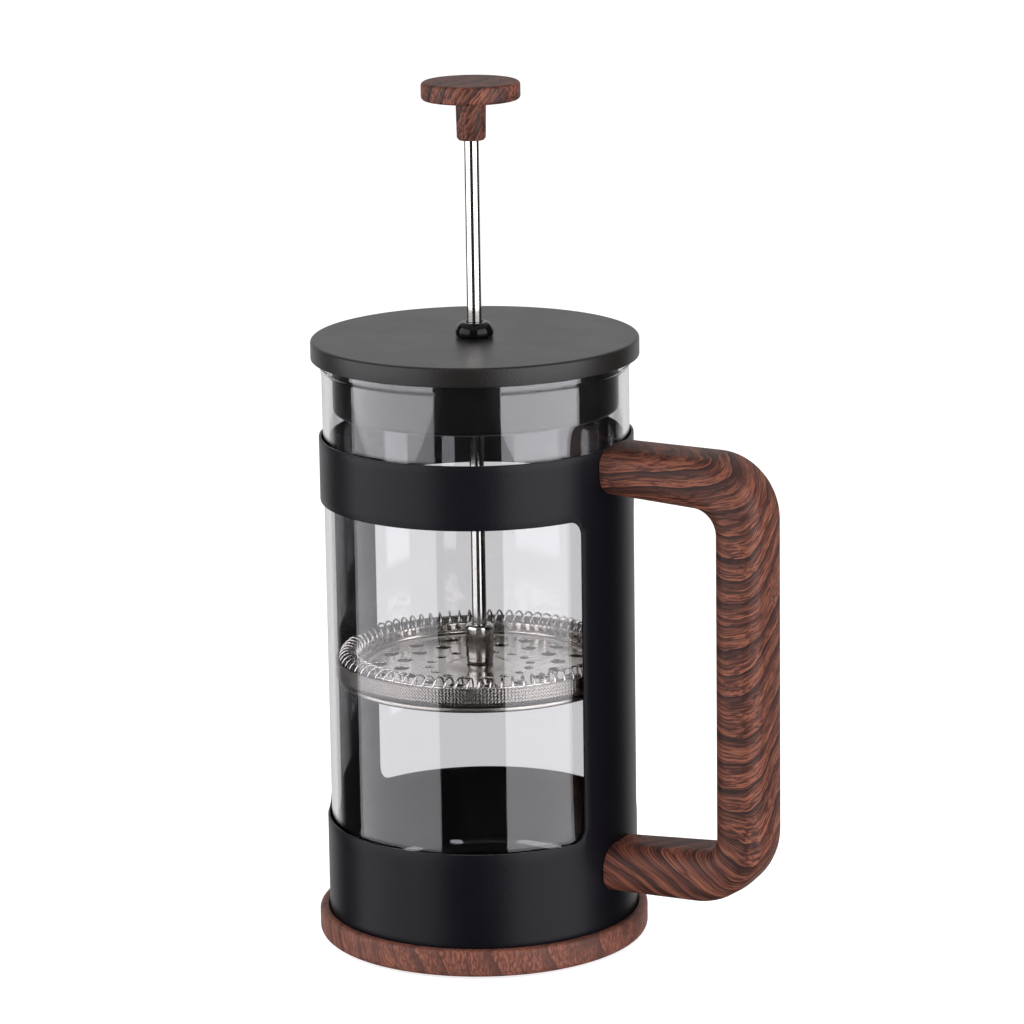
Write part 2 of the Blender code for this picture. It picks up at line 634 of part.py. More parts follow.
def make_plunger(parent):
    """The knob and its insert, the rod with a thread at each end, and the hub above the filter."""
    bore_top = KNOB_TOP - KNOB_CAP
    disc_low = KNOB_TOP - KNOB_DISC
    fillet, chamfer = 1.2, 0.8
    knob = [(0, KNOB_TOP)]
    knob += arc(KNOB_RADIUS - KNOB_EDGE, KNOB_TOP - KNOB_EDGE, KNOB_EDGE, 90, 0)
    knob += arc(KNOB_RADIUS - KNOB_EDGE, disc_low + KNOB_EDGE, KNOB_EDGE, 0, -90)
    knob += arc(STEM_RADIUS + fillet, disc_low - fillet, fillet, 90, 180)
    knob += [(STEM_RADIUS - 0.2, KNOB_BOTTOM + chamfer), (STEM_RADIUS - chamfer, KNOB_BOTTOM)]
    knob += [(KNOB_BORE, KNOB_BOTTOM), (KNOB_BORE, bore_top), (0, bore_top)]
    turned("knob", knob, "wood_effect", parent, closed=False, steps=32)

    insert_low, insert_high = KNOB_BOTTOM + 2 * CLEARANCE, bore_top - 1
    insert_radius = THREAD_BORE + KNOB_INSERT_WALL
    insert = [(THREAD_BORE, insert_high), (insert_radius, insert_high)]
    insert += [(insert_radius, insert_low), (THREAD_BORE, insert_low)]
    turned("knob_insert", insert, "brass", parent, steps=SMALL_STEPS)

    hub_low = PLATE_TOP + BOSS_RISE + CLEARANCE
    rod_top, rod_low = insert_low - CLEARANCE, hub_low + 2 * CLEARANCE
    rod = [(0, bore_top - 2 * CLEARANCE), (THREAD_RADIUS, bore_top - 2 * CLEARANCE)]
    rod += [(THREAD_RADIUS, rod_top), (ROD_RADIUS, rod_top), (ROD_RADIUS, rod_low)]
    rod += [(THREAD_RADIUS, rod_low), (THREAD_RADIUS, STUD_BOTTOM), (0, STUD_BOTTOM)]
    turned("plunger_rod", rod, "steel", parent, closed=False, steps=SMALL_STEPS)

    hub_high = hub_low + HUB_HEIGHT
    shoulder, chamfer = 1.2, 0.5
    hub = [(ROD_BORE, hub_high)]
    hub += arc(HUB_RADIUS - shoulder, hub_high - shoulder, shoulder, 90, 0)
    hub += [(HUB_RADIUS, hub_low + chamfer), (HUB_RADIUS - chamfer, hub_low), (ROD_BORE, hub_low)]
    turned("rod_hub", hub, "steel", parent, steps=SMALL_STEPS)


def make_filter(parent):
    """The spring plate, the coil on its edge, the mesh dish, the cross plate and the clamp nut."""
    under = PLATE_TOP - PLATE_SHEET
    wall, wall_in = PLATE_WALL_RADIUS + PLATE_SHEET / 2, PLATE_WALL_RADIUS - PLATE_SHEET / 2
    bend = 1.2
    plate = arc(wall - bend, under + bend, bend, 0, -90)
    plate = [(wall, PLATE_WALL_TOP), *plate]
    plate += [(BOSS_RADIUS, under), (BOSS_RADIUS - BOSS_SLOPE, under + BOSS_RISE)]
    plate += [(THREAD_BORE, under + BOSS_RISE), (THREAD_BORE, PLATE_TOP + BOSS_RISE)]
    plate += [(BOSS_RADIUS - BOSS_SLOPE, PLATE_TOP + BOSS_RISE), (BOSS_RADIUS, PLATE_TOP)]
    plate += arc(wall - bend, under + bend, bend - PLATE_SHEET, -90, 0)
    plate += [(wall_in, PLATE_WALL_TOP)]
    spring_plate = turned("spring_plate", plate, "steel", parent)
    for label, (count, ring, radius) in (("inner_hole", INNER_HOLES), ("outer_hole", OUTER_HOLES)):
        drilled(spring_plate, label, radius, under - 1, PLATE_TOP + 1, ring_of(count, ring), steps=6)

    # the ring of the coil's outer size is open below, where the plate's wall comes up inside it
    inside = SPRING_COIL - SPRING_WALL
    beside = PLATE_SHEET / 2 + CLEARANCE
    open_from = 180 + math.degrees(math.acos((SPRING_OFFSET + beside) / inside))
    open_to = 184 + math.degrees(math.acos((SPRING_OFFSET - beside) / SPRING_COIL)) - 360
    outer = arc(SPRING_CENTRE, SPRING_Z, SPRING_COIL, open_from, open_to, 7)
    inner = arc(SPRING_CENTRE, SPRING_Z, inside, open_to, open_from, 5)
    turned("filter_spring", outer + inner, "steel", parent)

    floor = MESH_TOP - MESH_THICKNESS
    mesh_top = MESH_TOP + MESH_HEIGHT - MESH_THICKNESS
    inside = MESH_RADIUS - MESH_THICKNESS
    bend, fold = 1.5, 1.2
    mesh = [(MESH_RADIUS, mesh_top), (MESH_RADIUS, floor + bend), (MESH_RADIUS - bend, floor)]
    mesh += [(THREAD_BORE, floor), (THREAD_BORE, MESH_TOP), (inside - fold, MESH_TOP)]
    mesh += [(inside, MESH_TOP + fold), (inside, mesh_top)]
    turned("mesh_screen", mesh, "steel", parent)

    cross_low = CROSS_TOP - CROSS_SHEET
    cross = [(CROSS_RADIUS - 0.8, CROSS_TOP), (CROSS_RADIUS, CROSS_TOP - 0.8)]
    cross += [(CROSS_RADIUS, cross_low - CROSS_ROLL), (CROSS_RADIUS - CROSS_SHEET, cross_low - CROSS_ROLL)]
    cross += [(CROSS_RADIUS - CROSS_SHEET, cross_low), (THREAD_BORE, cross_low), (THREAD_BORE, CROSS_TOP)]
    cross_plate = turned("cross_plate", cross, "steel", parent)
    count, ring, radius = CROSS_HOLES
    drilled(cross_plate, "cross_hole", radius, cross_low - 1, CROSS_TOP + 1, ring_of(count, ring), steps=12)

    hexagon_nut("clamp_nut", CLAMP_NUT_FLATS, THREAD_BORE, CLAMP_NUT_TOP - CLAMP_NUT_HEIGHT,
                CLAMP_NUT_TOP, "steel", parent)


# ---------------------------------------------------------------- the press

screw_spots, flange_hole = make_base()
make_sleeve(screw_spots, flange_hole)
make_handle()
beaker_body = body_empty("beaker_body", root)
make_beaker(beaker_body)
lid_body = body_empty("lid_body", beaker_body)
make_lid(lid_body)
plunger_body = body_empty("plunger_body", lid_body)
make_plunger(plunger_body)
make_filter(plunger_body)
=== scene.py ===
"""Looks of a windowed glass french press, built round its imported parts.

Every sub-assembly is a class whose fields are its sizes in millimetres. Its surfaces are worked out
with numpy as whole grids of points, and its finishes come from the finish classes further down.
The beaker's axis is Z, the handle is on +X and the pouring spout on -X.
"""

from __future__ import annotations

import logging
import math
from dataclasses import dataclass
from enum import Enum
from functools import cache
from typing import Any, NamedTuple

import bmesh
import bpy
import numpy as np
from bpy.types import Material, Node, NodeSocket, NodeTree, Object
from mathutils import Matrix, Vector


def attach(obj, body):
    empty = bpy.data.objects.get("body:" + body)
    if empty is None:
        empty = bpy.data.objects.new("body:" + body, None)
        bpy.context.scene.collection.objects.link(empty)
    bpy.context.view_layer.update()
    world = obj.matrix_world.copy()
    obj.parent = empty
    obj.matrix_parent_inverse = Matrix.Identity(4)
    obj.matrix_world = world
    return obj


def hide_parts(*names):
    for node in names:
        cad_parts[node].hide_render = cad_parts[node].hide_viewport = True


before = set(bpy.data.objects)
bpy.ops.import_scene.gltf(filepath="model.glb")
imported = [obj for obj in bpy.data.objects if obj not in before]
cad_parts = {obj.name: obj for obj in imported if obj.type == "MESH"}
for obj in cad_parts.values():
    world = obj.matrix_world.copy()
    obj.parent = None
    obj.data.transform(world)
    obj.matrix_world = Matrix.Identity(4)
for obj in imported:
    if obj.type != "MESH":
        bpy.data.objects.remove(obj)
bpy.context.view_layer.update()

log = logging.getLogger("french_press")

MM = 0.001
WELD_MM = 0.002
CUT_EDGE_DEGREES = 55
HOLE_LAYERS = 3

Grid = np.ndarray
Triple = tuple[float, float, float]


class Body(Enum):
    """The moving groups of the press."""

    STAND = "stand"
    GLASS = "glass"
    LID = "lid"
    PLUNGER = "plunger"


class Slot(Enum):
    """The material slots of the press."""

    WOOD = "wood_effect"
    COAT = "black_coat"
    PLASTIC = "black_plastic"
    GLOSS = "gloss_black"
    STEEL = "steel"
    FASTENER = "fastener_steel"
    BRASS = "brass"
    RUBBER = "rubber"
    GLASS = "glass"


# ---------------------------------------------------------------- profiles and grids


def arc(r: float, z: float, radius: float, start: float, end: float, steps: int = 6) -> Grid:
    """Points on a circle about (r, z), from one angle in degrees to another, +r being zero.

    Args:
        r: radius coordinate of the arc's centre.
        z: height of the arc's centre.
        radius: the arc's own radius.
        start: first angle in degrees.
        end: last angle in degrees.
        steps: number of chords.

    Returns:
        An array of (radius, height) points.
    """
    turn = np.radians(np.linspace(start, end, steps + 1))
    return np.stack([r + radius * np.cos(turn), z + radius * np.sin(turn)], axis=1)


def run(*points: tuple[float, float], steps: int = 1) -> Grid:
    """Points along the straight lines between corners, each line cut into equal steps.

    Args:
        points: the corners, as (radius, height).
        steps: number of pieces that each line is cut into.

    Returns:
        An array of (radius, height) points.
    """
    corners = np.array(points, float)
    at = np.linspace(0, len(corners) - 1, (len(corners) - 1) * steps + 1)
    index = np.arange(len(corners))
    return np.stack([np.interp(at, index, corners[:, axis]) for axis in (0, 1)], axis=1)


def rolled(r: Any, angle: Any, z: Any) -> Grid:
    """Points at radii, angles round Z and heights: (r cos a, r sin a, z) for each."""
    return np.stack(np.broadcast_arrays(r * np.cos(angle), r * np.sin(angle), z), axis=-1)


def turned(profile: Grid, steps: int = 256) -> Grid:
    """A profile swept round Z: each of its points goes once round at every step's angle.

    Args:
        profile: points as (radius, height), going up the outside of the piece.
        steps: number of steps round the axis.

    Returns:
        A grid of points, angle by profile, whose last angle repeats the first.
    """
    return rolled(profile[:, 0], np.linspace(0, math.tau, steps + 1)[:, None], profile[:, 1])


def along(profile: Grid) -> Grid:
    """The distance along a profile to each of its points."""
    return np.concatenate([[0], np.cumsum(np.hypot(*np.diff(profile, axis=0).T))])


def unit(vectors: Grid) -> Grid:
    """Vectors brought to length one, their components on the last axis."""
    return vectors / np.linalg.norm(vectors, axis=-1, keepdims=True)


def placed(name: str, data: bpy.types.ID) -> Object:
    """A new object of some data, put in the scene.

    Args:
        name: the object's name.
        data: its mesh, camera or light.

    Returns:
        The object, at the origin.
    """
    made = bpy.data.objects.new(name, data)
    bpy.context.scene.collection.objects.link(made)
    return made


class Surface:
    """Grids of points in millimetres that become one welded mesh."""

    def __init__(self, *grids: Grid) -> None:
        """Starts with some grids.

        Args:
            grids: points, rows by columns by 3.
        """
        self.points: list[Grid] = []
        self.faces: list[Grid] = []
        self.maps: list[Grid] = []
        self.count = 0
        for grid in grids:
            self.add(grid)

    def add(self, grid: Grid, place: Grid | None = None) -> Surface:
        """Adds a grid, whose faces look along its row direction crossed with its column direction.

        Args:
            grid: points, rows by columns by 3.
            place: pattern coordinates in millimetres for each point, rows by columns by 2.

        Returns:
            This surface, so that calls can be chained.
        """
        rows, columns = grid.shape[:2]
        index = np.arange(rows * columns).reshape(rows, columns) + self.count
        quads = [index[:-1, :-1], index[1:, :-1], index[1:, 1:], index[:-1, 1:]]
        self.faces.append(np.stack(quads, axis=2).reshape(-1, 4))
        self.points.append(grid.reshape(-1, 3))
        self.maps.append(np.zeros((rows * columns, 2)) if place is None else place.reshape(-1, 2))
        self.count += rows * columns
        return self

    def make(self, name: str, closed: bool = True, sharp: float = 35.0) -> Object:
        """Turns the grids into an object, with seams and poles welded.

        Args:
            name: the object's name.
            closed: whether the surface is a closed shell, whose faces are then turned outwards.
            sharp: edges that bend by more than this many degrees are shaded sharp.

        Returns:
            The new object, at the origin.
        """
        points, faces = np.concatenate(self.points) * MM, np.concatenate(self.faces)
        mesh = bpy.data.meshes.new(name)
        mesh.from_pydata(points.tolist(), [], faces.tolist())
        layer = mesh.uv_layers.new(name="figure")
        layer.data.foreach_set("uv", np.concatenate(self.maps)[faces.ravel()].astype(np.float32).ravel())
        shell = bmesh.new()
        shell.from_mesh(mesh)
        bmesh.ops.remove_doubles(shell, verts=shell.verts, dist=WELD_MM * MM)
        if closed:
            bmesh.ops.recalc_face_normals(shell, faces=shell.faces)
        shell.to_mesh(mesh)
        shell.free()
        mesh.shade_smooth()
        mesh.set_sharp_from_angle(angle=math.radians(sharp))
        return placed(name, mesh)


def thicken(piece: Object, sheet: float, edge: float = 0.0) -> None:
    """Gives an open sheet its thickness behind its faces, and rounds its cut edges.

    Args:
        piece: the sheet.
        sheet: thickness in millimetres.
        edge: size of the rounding of the cut edges in millimetres.
    """
    solid = piece.modifiers.new("sheet", "SOLIDIFY")
    solid.thickness, solid.offset, solid.use_even_offset = sheet * MM, -1.0, True
    if edge:
        bevel = piece.modifiers.new("edges", "BEVEL")
        bevel.width, bevel.segments = edge * MM, 2
        bevel.limit_method, bevel.angle_limit = "ANGLE", math.radians(CUT_EDGE_DEGREES)


def turn_piece(name: str, *parts: Grid, steps: int = 256, sharp: float = 35.0) -> Object:
    """A closed piece turned round Z.

    Args:
        name: the piece's name.
        parts: the parts of its section in turn, as points (radius, height).
        steps: number of steps round the axis.
        sharp: edges that bend by more than this many degrees are shaded sharp.

    Returns:
        The piece.
    """
    return Surface(turned(np.concatenate(parts), steps)).make(name, sharp=sharp)


class HoleRow(NamedTuple):
    """A row of round holes in a band of a profile.

    The band lies from low to high along the profile, and stagger is how far the holes are turned
    about the axis, as a share of their spacing.
    """

    low: float
    high: float
    count: int
    radius: float
    stagger: float


def perforated(profile: Grid, row: HoleRow, segments: int) -> Grid:
    """A band of a turned profile with a row of round holes in it.

    The band is cut into one cell for each hole. In a cell, a point runs in a straight line from the
    hole's circle to the cell's outline, in the flat coordinates (distance along the profile, arc
    length round the axis), and those are then rolled up round the axis.

    Args:
        profile: points as (radius, height).
        row: the band and its holes.
        segments: number of segments of the band's edges round the whole circle.

    Returns:
        Grids for all cells, cell by point round the hole by layer by 3.
    """
    distance = along(profile)
    middle = (row.low + row.high) / 2
    reach = np.interp(middle, distance, profile[:, 0])
    half = math.pi / row.count
    across = segments // row.count
    side = max(2, across // 3)
    edge = np.linspace(-half, half, across + 1)
    climb = np.linspace(row.low, row.high, side + 1)
    turn = np.concatenate([edge[:-1], np.full(side, half), edge[::-1][:-1], np.full(side + 1, -half)])
    level = [np.full(across, row.low), climb[:-1], np.full(across, row.high), climb[::-1]]
    out = np.stack([turn * reach, np.concatenate(level) - middle], axis=1)
    hole = unit(out) * row.radius
    share = (np.linspace(0, 1, HOLE_LAYERS + 1) ** 1.5)[None, :, None]
    flat = hole[:, None] + (out - hole)[:, None] * share
    spin = (np.arange(row.count) + row.stagger) * 2 * half
    angle = spin[:, None, None] + flat[None, :, :, 0] / reach
    s = np.broadcast_to(flat[None, :, :, 1] + middle, angle.shape)
    return rolled(np.interp(s, distance, profile[:, 0]), angle, np.interp(s, distance, profile[:, 1]))


def tube(path: Grid, radius: float, sides: int = 8) -> Grid:
    """A round wire carried along a closed path, on frames square to the path's direction.

    Args:
        path: points of the path, the last one repeating the first.
        radius: radius of the wire.
        sides: number of sides of the wire.

    Returns:
        A grid of points, path by side.
    """
    ahead = np.roll(path[:-1], -1, axis=0) - np.roll(path[:-1], 1, axis=0)
    ahead = unit(np.concatenate([ahead, ahead[:1]]))
    first = unit(np.cross(ahead, unit(path * np.array([1, 1, 0]))))
    second = np.cross(ahead, first)
    turn = np.linspace(0, math.tau, sides + 1)[None, :, None]
    return path[:, None] + (first[:, None] * np.cos(turn) + second[:, None] * np.sin(turn)) * radius


# ---------------------------------------------------------------- node helpers


class Nodes:
    """Adds nodes to a node tree and joins them up."""

    def __init__(self, tree: NodeTree) -> None:
        """Works on a tree."""
        self.tree = tree

    def add(self, kind: str, inputs: dict[Any, Any] | None = None, **settings: Any) -> Node:
        """Adds one node.

        Args:
            kind: the node's type, without its ShaderNode prefix.
            inputs: values or source sockets, by input name or number.
            settings: the node's own properties.

        Returns:
            The new node.
        """
        node = self.tree.nodes.new(kind if kind.startswith("Node") else f"ShaderNode{kind}")
        for key, value in settings.items():
            setattr(node, key, value)
        self.feed(node, inputs or {})
        return node

    def feed(self, node: Node, inputs: dict[Any, Any]) -> None:
        """Gives inputs their values, or joins them to the sockets that they read.

        Args:
            node: the node.
            inputs: values or source sockets, by input name or number.
        """
        for key, value in inputs.items():
            if isinstance(value, NodeSocket):
                self.tree.links.new(value, node.inputs[key])
            else:
                node.inputs[key].default_value = value

    def math(self, operation: str, *values: Any) -> NodeSocket:
        """The result of one Math node on values or sockets."""
        return self.add("Math", dict(enumerate(values)), operation=operation).outputs[0]

    def vector(self, operation: str, *values: Any) -> NodeSocket:
        """The result of one Vector Math node on vectors or sockets."""
        return self.add("VectorMath", dict(enumerate(values)), operation=operation).outputs[0]

    def scaled(self, source: NodeSocket, factor: float) -> NodeSocket:
        """A vector times a number."""
        return self.add("VectorMath", {0: source, "Scale": factor}, operation="SCALE").outputs[0]

    def noise(self, place: NodeSocket, size: float, detail: float = 2.0, output: str = "Fac") -> NodeSocket:
        """Noise whose features are about so many millimetres wide."""
        inputs = {"Vector": place, "Scale": 1 / size, "Detail": detail}
        return self.add("TexNoise", inputs).outputs[output]

    def between(self, value: Any, low: float, high: float) -> NodeSocket:
        """A smooth 0 to 1 as a value goes from low to high."""
        inputs = {"Value": value, "From Min": low, "From Max": high}
        return self.add("MapRange", inputs, interpolation_type="SMOOTHSTEP").outputs[0]

    def blend(self, factor: Any, first: Any, second: Any) -> NodeSocket:
        """A mix of two colours."""
        return self.add("Mix", {0: factor, 6: first, 7: second}, data_type="RGBA").outputs[2]

    def effect(self, tree: NodeTree, **inputs: Any) -> Any:
        """The outputs of a shared effect that is placed with its own inputs."""
        return self.add("Group", inputs, node_tree=tree).outputs

    def toned(self, mask: NodeSocket, colour: Triple, share: float) -> NodeSocket:
        """A colour that becomes so many times itself where a mask is one."""
        return self.blend(mask, (*colour, 1), (*(c * share for c in colour), 1))

    def bump(self, height: NodeSocket, depth: float, strength: float) -> NodeSocket:
        """The normal of a relief that is at most so many millimetres deep."""
        inputs = {"Height": height, "Distance": depth * MM, "Strength": strength}
        return self.add("Bump", inputs).outputs[0]

    def millimetres(self) -> NodeSocket:
        """Object coordinates in millimetres."""
        return self.scaled(self.add("TexCoord").outputs["Object"], 1 / MM)

    def figure_map(self) -> NodeSocket:
        """The piece's own pattern coordinates."""
        return self.add("UVMap", uv_map="figure").outputs[0]


def group(name: str, takes: dict[str, str], gives: dict[str, str]) -> tuple[Nodes, Any, Any]:
    """An empty shader node group with named sockets.

    Args:
        name: the group's name.
        takes: input names and socket types.
        gives: output names and socket types.

    Returns:
        The group's nodes, its input node and its output node.
    """
    tree = bpy.data.node_groups.new(name, "ShaderNodeTree")
    for label, kind in takes.items():
        tree.interface.new_socket(label, in_out="INPUT", socket_type=f"NodeSocket{kind}")
    for label, kind in gives.items():
        tree.interface.new_socket(label, in_out="OUTPUT", socket_type=f"NodeSocket{kind}")
    nodes = Nodes(tree)
    return nodes, nodes.add("NodeGroupInput"), nodes.add("NodeGroupOutput")


DARK_GROUND, PALE_GROUND = (0.042, 0.012, 0.008, 1), (0.175, 0.059, 0.034, 1)
LINE_INK, BAND_INK, PORE_INK = (0.030, 0.011, 0.008, 1), (0.012, 0.006, 0.006, 1), (0.014, 0.007, 0.006, 1)
FADED_INK = (0.36, 0.15, 0.11, 1)


@cache
def wood_figure() -> NodeTree:
    """The printed rosewood figure: dark bands, finer lines, streaks and pores along a stretched axis.

    Returns:
        A group that takes a place in millimetres, how much each axis of it is shortened and how
        faded the print is, and gives a colour, a roughness and a height.
    """
    nodes, taken, given = group(
        "wood figure",
        {"Place": "Vector", "Stretch": "Vector", "Fade": "Float"},
        {"Colour": "Color", "Roughness": "Float", "Height": "Float"},
    )
    place, stretch = taken.outputs["Place"], taken.outputs["Stretch"]

    def strayed(start: NodeSocket, size: float, most: float) -> NodeSocket:
        """A place moved by swings that are so many millimetres wide and far."""
        swing = nodes.vector("SUBTRACT", nodes.noise(place, size, 1.0, "Color"), (0.5, 0.5, 0.5))
        return nodes.vector("ADD", start, nodes.scaled(swing, most))

    def stripes(period: float, power: float, patch: float, low: float, high: float) -> NodeSocket:
        """Stripes that darken towards one side and fade out between patches.

        Args:
            period: the stripes' spacing in millimetres.
            power: how steeply they darken.
            patch: size of the patches in millimetres.
            low: level of the patches' noise where they start.
            high: level where they are full.

        Returns:
            A mask.
        """
        saw = nodes.math("FRACT", nodes.math("DIVIDE", phase, period))
        shown = nodes.between(nodes.noise(grain, patch, 0.0), low, high)
        return nodes.math("MULTIPLY", nodes.math("POWER", saw, power), shown)

    moved = strayed(strayed(place, 30, 7.0), 6, 0.9)
    grain = nodes.vector("MULTIPLY", moved, stretch)
    streaks = nodes.noise(grain, 0.55, 3.0)
    sway = nodes.math("MULTIPLY", nodes.noise(grain, 8.0, 1.0), 7.0)
    across = nodes.add("SeparateXYZ", {0: moved}).outputs[0]
    phase = nodes.math("ADD", across, nodes.math("MULTIPLY_ADD", streaks, 0.6, sway))
    bands = stripes(period=7.6, power=2.3, patch=7.0, low=0.26, high=0.48)
    lines = stripes(period=1.7, power=2.0, patch=2.2, low=0.35, high=0.60)
    short = nodes.vector("MULTIPLY", grain, nodes.vector("ADD", stretch, (1, 1, 1)))
    pores = nodes.between(nodes.noise(short, 0.32, 1.0), 0.40, 0.30)
    colour = nodes.blend(nodes.between(streaks, 0.38, 0.62), DARK_GROUND, PALE_GROUND)
    for mask, strength, ink in ((lines, 0.85, LINE_INK), (bands, 1.0, BAND_INK), (pores, 0.6, PORE_INK)):
        colour = nodes.blend(nodes.math("MULTIPLY", mask, strength), colour, ink)
    rough = nodes.math("MULTIPLY_ADD", streaks, 0.2, 0.42)
    nodes.feed(given, {
        "Colour": nodes.blend(taken.outputs["Fade"], colour, FADED_INK),
        "Roughness": nodes.math("MULTIPLY_ADD", pores, 0.15, rough),
        "Height": nodes.math("SUBTRACT", streaks, nodes.math("ADD", pores, lines)),
    })
    return nodes.tree


@cache
def orange_peel() -> NodeTree:
    """The fine pebbling of a sprayed or moulded surface.

    Returns:
        A group that takes a place and a size in millimetres and gives a height and a mottling.
    """
    takes, gives = {"Place": "Vector", "Size": "Float"}, {"Height": "Float", "Mottle": "Float"}
    nodes, taken, given = group("orange peel", takes, gives)
    place = taken.outputs["Place"]
    scale = nodes.math("DIVIDE", 1.0, taken.outputs["Size"])
    pebbles = nodes.add("TexNoise", {"Vector": place, "Scale": scale, "Detail": 2.0})
    nodes.feed(given, {"Height": pebbles.outputs["Fac"], "Mottle": nodes.noise(place, 14)})
    return nodes.tree


@cache
def handling() -> NodeTree:
    """Faint polishing lines and smears on bright metal.

    Returns:
        A group that takes a place in millimetres and the direction's stretch, and gives a height
        and a smear mask.
    """
    takes, gives = {"Place": "Vector", "Stretch": "Vector"}, {"Height": "Float", "Smear": "Float"}
    nodes, taken, given = group("handling", takes, gives)
    place = taken.outputs["Place"]
    drawn = nodes.vector("MULTIPLY", place, taken.outputs["Stretch"])
    nodes.feed(given, {"Height": nodes.noise(drawn, 0.3), "Smear": nodes.noise(place, 9.0, 3.0)})
    return nodes.tree


@cache
def weave() -> NodeTree:
    """Plain woven wire: two crossing sets of round wires that pass over and under each other.

    Returns:
        A group that takes pattern coordinates counted in wires and gives a height and the gaps.
    """
    nodes, taken, given = group("weave", {"Place": "Vector"}, {"Height": "Float", "Gap": "Float"})
    parts = nodes.add("SeparateXYZ", {0: taken.outputs["Place"]}).outputs
    waves = [nodes.math("SINE", nodes.math("MULTIPLY", parts[axis], math.pi)) for axis in (0, 1)]
    deep = nodes.math("MULTIPLY", *(nodes.math("ABSOLUTE", wave) for wave in waves))
    height = nodes.math("MULTIPLY", *waves)
    nodes.feed(given, {"Height": height, "Gap": nodes.between(deep, 0.35, 0.05)})
    return nodes.tree


# ---------------------------------------------------------------- finishes


@dataclass(frozen=True)
class Finish:
    """A material that is made once, the first time that a piece asks for it."""

    name: str

    def material(self) -> Material:
        """Makes the finish's material, or finds the one of its name.

        Returns:
            The material.
        """
        if self.name in bpy.data.materials:
            return bpy.data.materials[self.name]
        made = bpy.data.materials.new(self.name)
        made.use_nodes = True
        nodes = Nodes(made.node_tree)
        nodes.feed(made.node_tree.nodes["Principled BSDF"], self.inputs(nodes))
        return made

    def inputs(self, nodes: Nodes) -> dict[str, Any]:
        """What the shader's inputs are given."""
        raise NotImplementedError


@dataclass(frozen=True)
class WoodEffect(Finish):
    """Printed rosewood on a moulded piece, its figure laid along the piece's own coordinates."""

    mapped: bool = False
    turn: Triple = (0.0, 0.0, 0.0)
    stretch: Triple = (1.0, 1.0, 0.09)
    fade: float = 0.0
    shine: float = 0.18

    def inputs(self, nodes: Nodes) -> dict[str, Any]:
        """Colour, roughness and a shallow relief from the wood figure.

        Args:
            nodes: the material's nodes.

        Returns:
            Values or sockets for the shader.
        """
        if self.mapped:
            place = nodes.figure_map()
        else:
            angles = tuple(math.radians(a) for a in self.turn)
            place = nodes.add("Mapping", {"Vector": nodes.millimetres(), "Rotation": angles}).outputs[0]
        figure = nodes.effect(wood_figure(), Place=place, Stretch=self.stretch, Fade=self.fade)
        return {
            "Base Color": figure["Colour"],
            "Roughness": figure["Roughness"],
            "Normal": nodes.bump(figure["Height"], 0.03, 0.35),
            "Specular IOR Level": self.shine,
        }


@dataclass(frozen=True)
class SprayedBlack(Finish):
    """Black paint or moulding with a fine orange peel."""

    name: str = "black powder coat"
    colour: Triple = (0.0027, 0.0026, 0.0040)
    roughness: float = 0.34
    size: float = 0.8
    depth: float = 0.09
    strength: float = 0.5
    shine: float = 0.13

    def inputs(self, nodes: Nodes) -> dict[str, Any]:
        """A near-black base whose roughness drifts slightly, under a pebbled relief.

        Args:
            nodes: the material's nodes.

        Returns:
            Values or sockets for the shader.
        """
        peel = nodes.effect(orange_peel(), Place=nodes.millimetres(), Size=self.size)
        return {
            "Base Color": nodes.toned(peel["Mottle"], self.colour, 1.35),
            "Roughness": nodes.math("MULTIPLY_ADD", peel["Mottle"], 0.08, self.roughness - 0.04),
            "Normal": nodes.bump(peel["Height"], self.depth, self.strength),
            "Specular IOR Level": self.shine,
        }


@dataclass(frozen=True)
class BrightMetal(Finish):
    """Polished or plated metal with faint drawn lines."""

    name: str = "polished steel"
    colour: Triple = (0.62, 0.60, 0.57)
    roughness: float = 0.1
    stretch: Triple = (1.0, 1.0, 0.1)
    strength: float = 0.06

    def inputs(self, nodes: Nodes) -> dict[str, Any]:
        """A metal whose roughness and tone vary with smears.

        Args:
            nodes: the material's nodes.

        Returns:
            Values or sockets for the shader.
        """
        marks = nodes.effect(handling(), Place=nodes.millimetres(), Stretch=self.stretch)
        return {
            "Base Color": nodes.toned(marks["Smear"], self.colour, 0.86),
            "Roughness": nodes.math("MULTIPLY_ADD", marks["Smear"], 0.12, self.roughness - 0.05),
            "Normal": nodes.bump(marks["Height"], 0.01, self.strength),
            "Metallic": 1.0,
        }


@dataclass(frozen=True)
class WovenWire(Finish):
    """Fine stainless cloth, its wires following the piece's own coordinates."""

    name: str = "woven wire"
    wire: Triple = (0.34, 0.32, 0.29)
    # Colour of the gaps between the wires: painted shade.
    painted_gap_shade: Triple = (0.02, 0.018, 0.016)
    roughness: float = 0.34

    def inputs(self, nodes: Nodes) -> dict[str, Any]:
        """Bright wires over gaps that let some light through, the gaps' dark colour being painted shade.

        Args:
            nodes: the material's nodes.

        Returns:
            Values or sockets for the shader.
        """
        cloth = nodes.effect(weave(), Place=nodes.figure_map())
        return {
            # In the gaps the colour is painted shade; the alpha below lets real light through the openings.
            "Base Color": nodes.blend(cloth["Gap"], (*self.wire, 1), (*self.painted_gap_shade, 1)),
            "Roughness": self.roughness,
            "Alpha": nodes.math("MULTIPLY_ADD", cloth["Gap"], -0.6, 0.95),
            "Normal": nodes.bump(cloth["Height"], 0.08, 0.8),
            "Metallic": 1.0,
        }


@dataclass(frozen=True)
class ClearGlass(Finish):
    """Clear borosilicate glass with the faintest grey."""

    name: str = "clear glass"
    tint: Triple = (0.925, 0.92, 0.935)
    bend: float = 1.47

    def inputs(self, nodes: Nodes) -> dict[str, Any]:
        """A plain transmitting shader."""
        return {"Base Color": (*self.tint, 1), "Roughness": 0.0, "IOR": self.bend, "Transmission Weight": 1.0}


